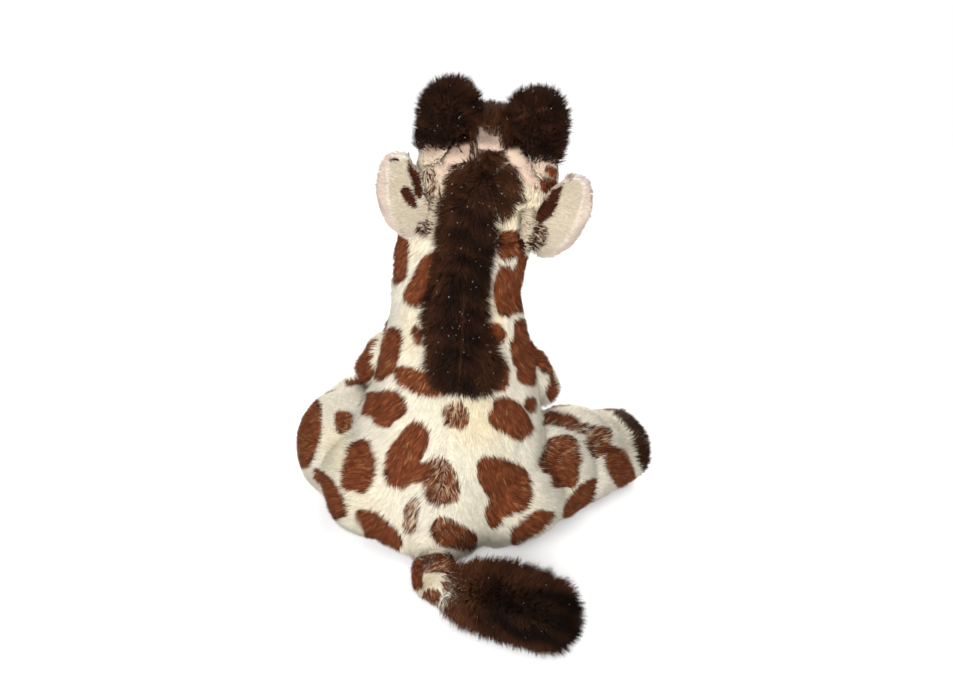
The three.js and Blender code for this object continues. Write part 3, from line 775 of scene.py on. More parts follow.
def spot_share(across, up, half_width, half_height, tilt, seed, soft):
    """1 inside a spot and 0 outside it."""
    c, s = math.cos(tilt), math.sin(tilt)
    a = (across * c + up * s) / half_width
    b = (up * c - across * s) / half_height
    out = (np.abs(a) ** SPOT_POWER + np.abs(b) ** SPOT_POWER) ** (1 / SPOT_POWER)
    edge = wobble(np.arctan2(b, a), seed)
    return ease(out, edge * (1 + soft), edge * (1 - soft))


def seen_share(table, places, normals, soft=SPOT_EDGE):
    """How far each place lies in one of a table's places, as the camera sees it."""
    view, depth_margin, least_facing = own("view"), 6 * MM, -0.35
    across, down, near = in_picture(places)
    facing = normals @ view_axes()[2]
    total = np.zeros(len(places))
    for x, y, half_width, half_height, tilt, share, depth, seed in seen_places(table):
        reach = max(half_width, half_height)
        away = np.maximum(np.abs(across - x), np.abs(down - y)) * view.pixel
        close = (away < SPOT_MARGIN * reach) & (np.abs(near - depth) < reach + depth_margin)
        close &= facing > least_facing
        if not close.any():
            continue
        found = spot_share(
            (across[close] - x) * view.pixel, (y - down[close]) * view.pixel,
            half_width, half_height, tilt, seed, soft)
        total[close] = np.maximum(total[close], found * share)
    return total


def bare_of_spots(piece, x, y, z):
    """Whether a place, in millimetres, is on the belly, the face or a sole, which carry no spots."""
    belly = piece == "trunk_skin" and y < -8 and abs(x) < 13 and z < 74
    face = piece == "head_skin" and (y < -32 or abs(x) < 15 or z > 163 or y > -8)
    return belly or face or z < 3


def unseen_spots():
    """Spots on the sides that the camera doesn't see, spaced apart."""
    if "unseen" in PAINTED:
        return PAINTED["unseen"]
    tries, lift, apart = 2600, 2 * MM, 3.2 * MM
    rng = np.random.default_rng(SEEDS["unseen"])
    tree, camera = skin_tree(), Vector(camera_place())
    spots = []
    for piece, (least, most) in UNSEEN_SPOTS.items():
        mesh = bpy.data.objects[piece].data
        places, normals = surface_of(mesh)
        for i in rng.permutation(len(places))[:tries]:
            place, normal = places[i], normals[i]
            if bare_of_spots(piece, *(place / MM)):
                continue
            half_width = rng.uniform(least, most) * MM
            half_height = half_width * rng.uniform(1.05, 1.5)
            if any(np.linalg.norm(place - s[0]) < 0.92 * (half_height + s[3]) + apart for s in spots):
                continue
            start = Vector(place + normal * lift)
            hidden = tree.ray_cast(start, camera - start)[0] is not None
            if normal @ view_axes()[2] > -0.1 and not hidden:
                continue
            across = unit(np.cross(normal, (0.1, 0.2, 1)))
            spots.append((place, across, np.cross(normal, across), half_height, half_width,
                          rng.uniform(-0.7, 0.7), len(spots)))
    PAINTED["unseen"] = spots
    return spots


def unseen_share(places, normals, soft=SPOT_EDGE):
    """How far each place lies in one of the spots that the camera doesn't see."""
    facing = normals @ view_axes()[2]
    total = np.zeros(len(places))
    for middle, across, up, half_height, half_width, tilt, seed in unseen_spots():
        offset = places - middle
        close = np.linalg.norm(offset, axis=1) < 1.5 * half_height
        close &= normals @ np.cross(across, up) > 0.1
        if close.any():
            found = spot_share(offset[close] @ across, offset[close] @ up, half_width, half_height,
                               tilt, seed, soft)
            total[close] = np.maximum(total[close], found)
    return total * ease(facing, 0.3, 0.05)


def any_spot(places, normals, soft=SPOT_EDGE):
    return np.maximum(seen_share(SPOTS, places, normals, soft), unseen_share(places, normals, soft))


def ground_colours(places, normals, face):
    """The pale ground of the pile, with the head's pink crown and thin dark fur."""
    ivory, cream, blush, mauve, deep = own_colours("ivory", "cream", "blush", "mauve", "deep_brown")
    warm = np.clip(0.45 + 0.3 * waves(places, 30 * MM, SEEDS["warm"]), 0, 1) * 0.5
    warm = np.maximum(warm, seen_share(YELLOW_PLACES, places, normals, 0.6))
    if not face:
        return blend(ivory, cream, warm)
    base = blend(ivory, cream, np.maximum(warm, 0.7))
    _, y, z = (places / MM).T
    pink = np.maximum(
        seen_share(BLUSH_PLACES, places, normals, 0.5), 0.75 * ease(z, 158, 166) * ease(y, -44, -30))
    base = blend(base, blush, pink)
    base = blend(base, mauve, seen_share(MAUVE_PLACES, places, normals, 0.6))
    base = blend(base, ivory, 0.6 * ease(y, -46, -54))
    furred = np.maximum(crown_share(places, normals), wing_share(places, normals))
    return blend(base, 1.2 * deep, 0.85 * ease(furred, 0.45, 0.9))


def plush_colours(places, normals, rng=None, face=False, clumps=None):
    """Colours of the spotted pile. With rng each place is one lock, all of one colour."""
    brown, deep, straw = own_colours("brown", "deep_brown", "straw")
    base = ground_colours(places, normals, face)
    middle = any_spot(places, normals, 0.4)
    inner = np.clip(1.25 * middle - 0.12 + 0.25 * waves(places, 6 * MM, SEEDS["inner"]), 0, 1)
    fill = blend(deep, brown, inner)
    if rng is None:
        spot = any_spot(places, normals)
        return blend(base, fill, spot), spot
    ragged = 0.24 * MM
    share = any_spot(places + rng.normal(0, ragged, (len(places), 3)), normals, 0.07)
    dice = rng.uniform(0, 1, len(places))
    spot = (share > 0.15 + 0.7 * (0.65 * dice[clumps] + 0.35 * dice)).astype(float)
    streak = rng.normal(0, 1, len(places))
    streak = 0.75 * streak[clumps] + 0.6 * streak
    golden = ease(streak, 1.2, 2.0) * ease(waves(places, 9 * MM, SEEDS["straw"]), -0.5, 0.7) * inner
    fill = blend(fill * np.exp(0.36 * streak)[:, None], straw, 0.75 * golden)
    base = base * np.exp(0.085 * streak - 0.02)[:, None]
    base = blend(base, straw, 0.75 * ease(middle, 0.3, 0.8))
    return blend(base, fill, spot), spot


# Hair

# How each kind of hair clumps, how its locks stray and vary, and how it takes light. Smooth is the share of
# the skin's own direction in the shading.
HAIR = {
    "pile": {"clump": 4, "pull": 0.2, "uneven": 0.03, "stray": 0.1, "smooth": 0.42,
             "roughness": 0.85, "shine": 0.12},
    "fur": {"clump": 7, "pull": 0.42, "uneven": 0.3, "stray": 0.22, "smooth": 0.3,
            "roughness": 0.55, "shine": 0.06},
    # Glint: the painted highlights on the dark fur's tips
    "glint": {"smooth": 0, "roughness": 0.3, "shine": 0.6},
}
SOCKET_REACH = {"coat": 1.2 * MM, "limb": 9 * MM}  # how deep in another skin a coat still grows
TIP_POWER = 1.3  # how far up a lock its root's colour goes
SHORT_PILE = 0.62  # share of the pile's length on the head and ears


def strand_shape(name):
    """One lock of hair: a closed three-sided spike, one unit long, with its place in the bake map."""
    bm = bmesh.new()
    bmesh.ops.create_cone(
        bm, cap_ends=True, segments=3, radius1=0.5, radius2=0, depth=1,
        matrix=Matrix.Translation((0, 0, 0.5)))
    bmesh.ops.remove_doubles(bm, verts=bm.verts, dist=1e-4)
    layer = bm.loops.layers.uv.new("OFBake")
    third = 2 * math.pi / 3
    for face in bm.faces:
        middle = face.calc_center_median()
        turn = math.atan2(middle.y, middle.x)
        column = round(turn / third - 0.5) % 3
        for corner, loop in enumerate(face.loops):
            spot = loop.vert.co
            if face.normal.z < -0.9:
                loop[layer].uv = (0.1 + 0.4 * corner, 0.02 if corner != 1 else 0.1)
                continue
            out = math.hypot(spot.x, spot.y)
            own_turn = math.atan2(spot.y, spot.x) if out > 1e-6 else turn
            away = (own_turn - (column + 0.5) * third + math.pi) % (2 * math.pi) - math.pi
            away = away if out > 1e-6 else 0
            loop[layer].uv = ((column + 0.5 + away / third) / 3, 0.15 + 0.85 * spot.z)
    return object_from(name, bm)


def planting_nodes(shape):
    """Nodes that put a copy of a lock on each point, turned and sized by the point's own values."""
    tree = bpy.data.node_groups.new("planting_" + shape.name, "GeometryNodeTree")
    for way in ("INPUT", "OUTPUT"):
        tree.interface.new_socket(name="Geometry", in_out=way, socket_type="NodeSocketGeometry")
    nodes = Nodes(tree)
    turn, size = (
        nodes.node("GeometryNodeInputNamedAttribute", {"Name": name}, output="Attribute", data_type=kind)
        for name, kind in (("turn", "QUATERNION"), ("size", "FLOAT_VECTOR")))
    lock = nodes.node("GeometryNodeObjectInfo", {"Object": shape}, output="Geometry")
    placed = nodes.node("GeometryNodeInstanceOnPoints", {
        "Points": nodes.node("NodeGroupInput"), "Instance": lock, "Rotation": turn, "Scale": size})
    nodes.node("NodeGroupOutput", {0: nodes.node("GeometryNodeRealizeInstances", {0: placed})})
    return tree


def turns_of(along, bend):
    """Quaternions that turn Z to along and X towards bend."""
    z = unit(along)
    x = unit(bend - z * np.sum(bend * z, 1, keepdims=True))
    y = np.cross(z, x)
    m = np.stack([x, y, z], 2)
    trace = m[:, 0, 0] + m[:, 1, 1] + m[:, 2, 2]
    q = np.empty((len(m), 4))
    q[:, 0] = np.sqrt(np.maximum(0, 1 + trace)) / 2
    for i, (j, k) in enumerate(((1, 2), (2, 0), (0, 1))):
        size = np.sqrt(np.maximum(0, 1 + m[:, i, i] - m[:, j, j] - m[:, k, k])) / 2
        q[:, i + 1] = np.copysign(size, m[:, k, j] - m[:, j, k])
    return unit(q)


def bake_map(mesh, count):
    """Moves each lock's own small map into its cell of the piece's bake map."""
    columns, margin = math.ceil(math.sqrt(count)), 0.04
    layer = mesh.uv_layers["OFBake"]
    uv = np.empty(len(mesh.loops) * 2, np.float32)
    layer.uv.foreach_get("vector", uv)
    uv = uv.reshape(-1, 2)
    cell = np.repeat(np.arange(count), len(mesh.loops) // count)
    for axis, place in enumerate((cell % columns, cell // columns)):
        uv[:, axis] = (place + margin + (1 - 2 * margin) * uv[:, axis]) / columns
    layer.uv.foreach_set("vector", uv.ravel())


def plant(name, body, kind, locks):
    """Hair as one piece. Locks has one array for each value of a lock, such as its root and length."""
    look = HAIR[kind]
    shape = bpy.data.objects["lock"]
    turn = np.arctan2(locks["root"][:, 1], locks["root"][:, 0])
    order = np.lexsort((turn, np.round(locks["root"][:, 2] / (BAND_HEIGHT * MM))))
    locks = {key: values[order] for key, values in locks.items()}
    count = len(order)
    mesh = bpy.data.meshes.new(name + "_roots")
    mesh.vertices.add(count)
    size = np.stack([locks["width"], locks["width"], locks["length"]], 1)
    turns = turns_of(locks["along"], locks["bend"])
    mesh.vertices.foreach_set("co", locks["root"].astype(np.float32).ravel())
    for key, type_name, field, values in (
        ("turn", "QUATERNION", "value", turns), ("size", "FLOAT_VECTOR", "vector", size)
    ):
        mesh.attributes.new(key, type_name, "POINT").data.foreach_set(
            field, values.astype(np.float32).ravel())
    piece = new_object(name, mesh)
    piece.modifiers.new("Hair", "NODES").node_group = planting_nodes(shape)
    settle(piece)
    mesh = piece.data
    for key in ("turn", "size"):
        if key in mesh.attributes:
            mesh.attributes.remove(mesh.attributes[key])
    corners = len(shape.data.vertices)
    places = places_of(mesh)
    places[:, 2] = np.maximum(places[:, 2], HAIR_CLEAR)
    move_points(mesh, places)
    share = np.tile(places_of(shape.data)[:, 2], count)[:, None] ** TIP_POWER
    root_tint, tip_tint, skin_way = (
        np.repeat(locks[key], corners, 0) for key in ("root_tint", "tip_tint", "normal"))
    store_colours(mesh, "tint", root_tint * (1 - share) + tip_tint * share)
    bake_map(mesh, count)
    mesh.shade_smooth()
    soft = unit(normals_of(mesh) * (1 - look["smooth"]) + skin_way * look["smooth"])
    mesh.normals_split_custom_set_from_vertices(soft.astype(np.float32).tolist())
    wear(mesh, kind, hair_finish(look["roughness"], look["shine"]))
    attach(piece, body)


def scatter(skin, per_cm2, rng):
    """Roots spread evenly over a skin, with the skin's direction at each."""
    mesh = skin.data
    places, normals, faces = places_of(mesh), normals_of(mesh), triangles_of(mesh)
    a, b, c = (places[faces[:, i]] for i in range(3))
    area = np.linalg.norm(np.cross(b - a, c - a), axis=1) / 2
    count = int(area.sum() / SQUARE_CM * per_cm2)
    pick = rng.choice(len(faces), count, p=area / area.sum())
    u, v = rng.random((2, count, 1))
    u, v = np.where(u + v > 1, 1 - u, u), np.where(u + v > 1, 1 - v, v)
    mix = lambda values: (values[faces[pick, 0]] * (1 - u - v) + values[faces[pick, 1]] * u
                          + values[faces[pick, 2]] * v)
    return mix(places), unit(mix(normals))


def buried(places, pieces, depth):
    """Which places lie inside another skin, deeper than depth."""
    out = np.zeros(len(places), bool)
    for name in pieces:
        mesh = bpy.data.objects[name].data
        corners = places_of(mesh)
        boxed = ((places > corners.min(0)) & (places < corners.max(0))).all(1) & ~out
        tree = surface_tree(mesh)
        for i in np.flatnonzero(boxed):
            place = Vector(places[i])
            hit, normal, _, distance = tree.find_nearest(place)
            out[i] = (place - hit).dot(normal) < 0 and distance > depth
    return out


def clumps_of(places, size, rng):
    """For each place, which place leads its clump of about size locks."""
    leaders = np.flatnonzero(rng.random(len(places)) < 1 / size)
    tree = point_tree(places[leaders])
    return leaders[[tree.find(place)[1] for place in places]]


def tousled(places, normals, flow, lean, rng, swirl, clumps, seed, look):
    """The way each lock points: leaning with the flow, swirling a little, drawn together in clumps."""
    swirl_spread, lean_spread, meeting = 11 * MM, 7 * MM, 6 * MM
    tangent = unit(flow - normals * np.sum(flow * normals, 1, keepdims=True))
    across = np.cross(normals, tangent)
    turn = swirl * waves(places, swirl_spread, seed) + rng.normal(0, 1.6 * look["stray"], len(places))
    tangent = tangent * np.cos(turn)[:, None] + across * np.sin(turn)[:, None]
    lean = lean * (1 + 0.14 * waves(places, lean_spread, seed + 1))
    lean = np.clip(lean + rng.normal(0, look["stray"], len(places)), 0.1, 1.45)
    along = normals * np.cos(lean)[:, None] + tangent * np.sin(lean)[:, None]
    tips = places[clumps] + along[clumps] * meeting
    return unit(along * (1 - look["pull"]) + unit(tips - places) * look["pull"]), tangent


def coat(name, skin, seed, flow, keep, kind, paint, beside=(), count=1.0, length=1.0, lean=None,
         swirl=0.35, glints=0, deepest=SOCKET_REACH["coat"]):
    """A coat of pile or fur over a skin, where keep says so and not inside the skins beside it."""
    pile, look, body = own("pile"), HAIR[kind], BODIES[skin]
    usual = {key: getattr(pile, f"{kind}_{key}") for key in ("length", "width", "lean", "per_cm2")}
    rng = np.random.default_rng(seed)
    roots, normals = scatter(bpy.data.objects[skin], usual["per_cm2"] * count, rng)
    chosen = keep(roots, normals, rng.random(len(roots)))
    roots, normals = roots[chosen], normals[chosen]
    outside = ~buried(roots, beside, deepest)
    roots, normals = roots[outside], normals[outside]
    clumps = clumps_of(roots, look["clump"], rng)
    along, bend = tousled(
        roots, normals, flow(roots, normals), usual["lean"] if lean is None else lean, rng, swirl, clumps,
        seed, look)
    uneven = (1 - look["uneven"], 1 + look["uneven"], len(roots))
    lengths = usual["length"] * length * rng.uniform(0.72, 1.12, len(roots))
    lengths *= rng.uniform(*uneven)[clumps]
    widths = usual["width"] * max(1, count ** -0.5) * rng.uniform(0.75, 1.2, len(roots))
    shade = rng.uniform(*uneven)[clumps][:, None]
    root_tint, tip_tint = paint(roots + along * (0.5 * lengths)[:, None], normals, rng, clumps)
    # Painted highlights: near-white specks near the tips of some locks, standing in for the light that
    # shines on them
    if glints:
        some = np.flatnonzero(rng.random(len(roots)) < glints)
        bright = np.full((len(some), 3), 0.85)
        starts = roots[some] + (along[some] + 0.25 * bend[some]) * lengths[some, None] * 0.8
        plant(name + "_glints", body, "glint", {
            "root": starts, "normal": normals[some], "along": along[some], "bend": bend[some],
            "length": pile.glint_length * rng.uniform(0.5, 1.2, len(some)),
            "width": pile.glint_width * rng.uniform(0.5, 1.1, len(some)),
            "root_tint": bright, "tip_tint": bright})
    plant(name, body, kind, {
        "root": roots, "normal": normals, "along": along, "bend": bend, "length": lengths,
        "width": widths, "root_tint": root_tint * shade, "tip_tint": tip_tint * shade})


def pile_paint(face=False):
    """Pile is a little darker at its roots: painted shade deep in the pile."""

    def paint(places, normals, rng, clumps):
        tip, spot = plush_colours(places, normals, rng, face, clumps)
        return tip * (0.74 - 0.16 * spot[:, None]), tip

    return paint


def plain_paint(colour, root=0.75):
    """One colour, a little uneven from lock to lock, and darker at the roots: painted shade deep in the
    pile.
    """

    def paint(places, normals, rng, clumps):
        tip = own_colours(colour)[0] * rng.uniform(0.93, 1.05, (len(places), 1))
        return tip * root, tip

    return paint


def dark_paint(frost_and_light, depth=1.0):
    """Dark fur with browner tips by a share, as a function or as one share, and darker roots. The browner
    tips are partly frosted ends and partly painted light through thin fur at rims and on lit faces; the
    darker roots are painted shade.
    """

    def paint(places, normals, rng, clumps):
        dark, frost_and_painted_light = own_colours("dark", "frost_and_painted_light")
        root = depth * dark * rng.uniform(0.45, 0.9, (len(places), 1))
        share = frost_and_light(places) if callable(frost_and_light) else frost_and_light
        share = np.clip(share + 0.22 * waves(places, 9 * MM, SEEDS["frost_and_painted_light"]), 0, 1.8)
        share *= 0.2 + 0.3 * rng.uniform(0, 1, len(places))[clumps] + 0.6 * rng.uniform(0, 1, len(places))
        return root, blend(depth * dark, frost_and_painted_light, share)

    return paint


def to_flow(x, y, z):
    return lambda places, normals: np.broadcast_to(np.array([x, y, z], float), places.shape)


# Ways that the hair lies


def trunk_flow(places, normals):
    """Down the neck and back, and out over the haunches."""
    x, y, z = (places / MM).T
    side = np.sign(x)
    out = ease(np.abs(x), 14, 36) * ease(z, 52, 30)
    seam = np.exp(-((x / 5) ** 2)) * ease(y, 5, 15) * ease(z, 8, 14) * ease(z, 78, 66)
    flow = np.stack([(0.22 + 0.7 * seam) * side, np.zeros_like(x), -np.ones_like(x)], 1)
    haunch = np.stack([0.95 * side, -0.35 + 0 * x, -0.55 + 0 * x], 1)
    return flow * (1 - out)[:, None] + haunch * out[:, None]


def line_flow(points):
    """Along a line of points in millimetres, by the nearest stretch of it."""
    points = np.array(points, float) * MM

    def flow(places, normals):
        best = np.full(len(places), np.inf)
        out = np.zeros(places.shape)
        for a, b in zip(points[:-1], points[1:]):
            t = np.clip((places - a) @ (b - a) / ((b - a) @ (b - a)), 0, 1)
            away = np.linalg.norm(places - (a + t[:, None] * (b - a)), axis=1)
            closer = away < best
            best[closer] = away[closer]
            out[closer] = unit(b - a)
        return out

    return flow


def parting_at(height):
    """Where the mane parts, across, at a height; both in millimetres."""
    return 1.5 * np.sin(height / 17)


def mane_flow(places, normals):
    """Away from the parting, down and out."""
    x, _, z = (places / MM).T
    side = np.tanh((x - parting_at(z)) / 4)
    return np.stack([0.75 * side, 0.1 + 0 * x, -np.ones_like(x)], 1)


HEAD_FLOW = to_flow(0, 1, -0.4)
FEWER = 0.82  # share of the usual count of locks, on the head and limbs
SENSOR_WIDTH = 36  # in millimetres

# Operators


def node_centre(node):
    low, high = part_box(node)
    return np.array((low + high) / 2)


def limb_line(body, hoof):
    """From a limb's root through its hoof's middle and beyond, in millimetres."""
    start, end = joint_place(body) / MM, node_centre(hoof) / MM
    beyond = 1.4
    return start, start + (end - start) * beyond


class GIRAFFE_OT_camera(bpy.types.Operator):
    """Stands the camera where the picture was taken from"""

    bl_idname = "giraffe.camera"
    bl_label = "Camera"

    def execute(self, context):
        view = own("view")
        camera = bpy.data.cameras.new("camera")
        camera.sensor_width = SENSOR_WIDTH
        camera.lens = camera.sensor_width * view.distance / (view.width * view.pixel)
        camera.clip_start, camera.clip_end = 0.05, 50
        seen = new_object("camera", camera)
        seen.matrix_world = matrix_of(*view_axes(), camera_place())
        context.scene.camera = seen
        return {"FINISHED"}


class GIRAFFE_OT_skins(bpy.types.Operator):
    """Makes the stuffed skins"""

    bl_idname = "giraffe.skins"
    bl_label = "Stuffed skins"

    def execute(self, context):
        SKINS.clear()
        PAINTED.clear()
        balls = [(joint_place("tufted_tail"), TAIL_BALL_RADIUS * MM)]
        for side, sign in SIDES.items():
            balls.append((joint_place(side + "_hind_leg"), HAUNCH_RADIUS * MM))
            balls.append((joint_place(side + "_foreleg"), SHOULDER_RADIUS * MM))
            balls += [filled(*ball, sign) for ball in SIDE_FILLINGS]
        skins = [
            ("trunk_skin", "torso", ["body", "neck", "seat_panel"], "spotted_plush", 0.8,
             {"hidden": ["pellet_bag"], "balls": balls, "extra": (rump_trim, back_seam, seat_seam)}),
            ("head_skin", "torso", ["head", "muzzle"], "blush_plush", 0.85,
             {"hidden": ["eye_washer_left", "eye_washer_right"], "balls": [filled(*HEAD_FILLING)],
              "smoothing": 10}),
            ("mane_skin", "torso", ["mane"], "dark_fur", 0.3,
             {"smoothing": 4, "inset": FUR_INSET, "extra": (mane_trim,)}),
            ("tail_skin", "tufted_tail", ["tail", "tail_tuft"], "spotted_plush", 0.7, {"smoothing": 8}),
        ]
        for side, sign in SIDES.items():
            skins += [
                (f"hind_leg_skin_{side}", side + "_hind_leg", [f"hind_leg_{side}", f"hind_hoof_{side}"],
                 "spotted_plush", 0.75, {"extra": (rump_trim,)}),
                (f"foreleg_skin_{side}", side + "_foreleg", [f"foreleg_{side}", f"fore_hoof_{side}"],
                 "spotted_plush", 0.7, {"smoothing": 6, "extra": (shoulder_trim(side, sign),)}),
                (f"ossicone_skin_{side}", "torso", [f"ossicone_{side}"], "dark_fur", 0.8,
                 {"smoothing": 6, "inset": FUR_INSET}),
                (f"ear_skin_{side}", side + "_ear", [f"ear_outer_{side}", f"ear_lining_{side}"],
                 "spotted_plush", 0.25,
                 {"voxel": own("stuffing").fine_voxel, "smoothing": 5, "inset": THIN_INSET,
                  "extra": (ear_sweep(side, sign),)}),
            ]
        for name, body, nodes, slot, fill, options in skins:
            dress(stuffed_skin(name, nodes, **options), body, nodes)
            SKINS.append(name)
        for name in SKINS:
            mesh = bpy.data.objects[name].data
            store_colours(mesh, "tint", skin_tint(name, *surface_of(mesh)))
            wear(mesh, "backing", backing_finish)
        return {"FINISHED"}


def skin_tint(name, places, normals):
    """Colours of the cloth under the hair, which are those of the hair."""
    dark, lining = own_colours("dark", "lining")
    if name.startswith("ear"):
        return np.tile(lining, (len(places), 1))
    if name == "mane_skin":
        return np.tile(dark, (len(places), 1))
    face = name.startswith(("head", "ossicone"))
    tint = plush_colours(places, normals, face=face)[0]
    if name.startswith("ossicone"):
        share = 1 - foot_share(name.rsplit("_", 1)[-1], places)
    elif name == "head_skin":
        share = ease(np.maximum(crown_share(places, normals), wing_share(places, normals)), 0.7, 1.0)
    else:
        share = dark_share(name, places, normals)
    return blend(tint, dark, share)


# Where a hoof's or the tuft's dark fur begins and is full, in millimetres along the limb
HIND_HOOF_EDGE = (48, 51)  # from the leg's root
FORE_HOOF_EDGE = (-9, -7.5)  # from the hoof's middle
TUFT_EDGE = (-9, 4)  # from the tuft's seam


def hoof_share(name, places):
    """1 on a dark hoof or tuft and 0 on the spotted skin that carries it."""
    if name == "trunk_skin":
        return np.zeros(len(places))
    side = name.rsplit("_", 1)[-1]
    if name.startswith("hind_leg"):
        start = joint_place(side + "_hind_leg")
        ahead, edge = (node_centre("hind_hoof_" + side) - start) * (1, 1, 0), HIND_HOOF_EDGE
    elif name.startswith("foreleg"):
        start = node_centre("fore_hoof_" + side)
        ahead, edge = start - node_centre("foreleg_" + side), FORE_HOOF_EDGE
    else:
        start = np.array(TUFT_SEAM) * MM
        ahead, edge = np.array(TUFT_MIDDLE) * MM - start, TUFT_EDGE
    return ease((places - start) @ unit(ahead), edge[0] * MM, edge[1] * MM)


def dark_share(name, places, normals):
    """Dark fur of a leg: its hoof, and the places that the camera sees dark."""
    seen = seen_share(HOOF_PLACES, places, normals, 0.3) if name == "hind_leg_skin_right" else 0
    return np.maximum(hoof_share(name, places), seen)


def mane_frost_and_rim_light(places):
    """The mane is near black along its middle and browner at its edges and top, partly painted light: light
    shining through the thin fur at its rims.
    """
    x, _, z = (places / MM).T
    parting = 0.5 * np.exp(-(((x - parting_at(z)) / 0.5) ** 2)) * ease(z, 140, 120)
    return np.clip(0.1 + 0.7 * ease(np.abs(x), 5, 12) + 0.5 * ease(z, 140, 160) + parting, 0, 1)


def foot_share(side, places):
    """0 on a knob's dark fur and 1 on the pale foot that the camera sees below it."""
    across, down, _ = in_picture(places)
    line = KNOB_FOOT[side] + (across - KNOB_MIDDLE) * KNOB_SLOPE[side]
    return ease(down - line, -12, 7) * ease(places[:, 1], -14 * MM, -8 * MM)


def knob_frost(places):
    """The knobs are dark, but for a parting that shows brown."""
    facing = np.broadcast_to(view_axes()[2], places.shape)
    return 0.35 + 0.65 * seen_share(PARTING_PLACES, places, facing, 0.4)


def tuft_frost_and_rim_light(places):
    """The tuft is brown by the tail and at its edges, and near black between. The brown edges, as the
    camera sees them, are painted light shining through the thin fur at the outline.
    """
    seam, far = np.array(TUFT_SEAM) * MM, np.array(TUFT_MIDDLE) * MM
    ahead = unit(far - seam)
    aside = unit(np.cross(view_axes()[2], ahead))
    edge = ease(np.abs((places - seam) @ aside), 7 * MM, 12 * MM)
    return 0.05 + np.maximum(0.8 * edge, 1.7 * ease((places - seam) @ ahead, 21 * MM, 2 * MM))


def crown_share(places, normals):
    """Short dark fur of the head: round the knobs' feet and between them."""
    x, y, z = (places / MM).T
    lock = ease(np.abs(x + 2), 13, 9) * ease(z, 166, 169) * ease(y, -12, -15) * ease(y, -36, -31)
    return np.maximum(seen_share(SHORT_FUR_PLACES, places, normals, 0.35), lock)


def wing_share(places, normals):
    """Longer dark fur of the head, beside the mane's top."""
    return seen_share(LONG_FUR_PLACES, places, normals, 0.35)


class GIRAFFE_OT_pile(bpy.types.Operator):
    """Grows the short spotted pile"""

    bl_idname = "giraffe.pile"
    bl_label = "Short pile"

    def execute(self, context):
        limbs = [name for name in SKINS if name.startswith(("hind_leg", "foreleg", "tail"))]
        trunk_parts = {
            "body_pile_back": (lambda y, z: (z < NECK_FOOT) & (z >= WAIST) & (y >= CHEST_EDGE), 1.0),
            "body_pile_front": (lambda y, z: (z < NECK_FOOT) & (y < CHEST_EDGE), 0.55),
            "neck_pile": (lambda y, z: (z >= NECK_FOOT) & (y >= THROAT_EDGE), 1.0),
            "rump_pile": (lambda y, z: (z < WAIST) & (y >= CHEST_EDGE), 1.0),
            "throat_pile": (lambda y, z: (z >= NECK_FOOT) & (y < THROAT_EDGE), 0.6),
        }
        for seed, (name, (inside, count)) in enumerate(trunk_parts.items(), SEEDS["trunk"]):
            coat(name, "trunk_skin", seed, trunk_flow,
                 lambda p, n, dice, inside=inside: inside(*(p / MM).T[1:]) & (p[:, 2] > 0.4 * MM),
                 "pile", pile_paint(), beside=[*limbs, "head_skin", "mane_skin"], count=count)
        coat("head_pile", "head_skin", SEEDS["head"], HEAD_FLOW,
             lambda p, n, dice: clear_of_stitches(p) & (
                 np.maximum(crown_share(p, n), wing_share(p, n)) < 0.6 + 0.4 * dice),
             "pile", pile_paint(True), beside=["trunk_skin", "mane_skin", *KNOB_SKINS], length=SHORT_PILE,
             count=FEWER)
        coat("tail_pile", "tail_skin", SEEDS["tail"],
             line_flow(TAIL_LINE), lambda p, n, dice: hoof_share("tail", p) < dice, "pile", pile_paint(),
             beside=["trunk_skin"])
        for seed, side in enumerate(SIDES, SEEDS["limb"]):
            for limb, hoof in LIMBS.items():
                skin, body = f"{limb}_skin_{side}", f"{side}_{limb}"
                coat(f"{limb}_pile_{side}", skin, seed,
                     line_flow(limb_line(body, f"{hoof}_{side}")),
                     lambda p, n, dice, skin=skin: dark_share(skin, p, n) < dice, "pile",
                     pile_paint(), beside=["trunk_skin"], deepest=SOCKET_REACH["limb"],
                     count=FEWER)
        return {"FINISHED"}


def ear_rim(skin, sign):
    """How far places lie from an ear's free edge, and the way that its inside faces."""
    places, normals = surface_of(skin.data)
    spread = places - places.mean(0)
    front = np.linalg.eigh(spread.T @ spread)[1][:, 0]
    front = front * -np.sign(front[1])
    out = sign * places[:, 0]
    root_length = 9 * MM
    tree = point_tree(places[(np.abs(normals @ front) < 0.4) & (out > out.min() + root_length)])
    return (lambda points: np.array([tree.find(point)[2] for point in points])), front


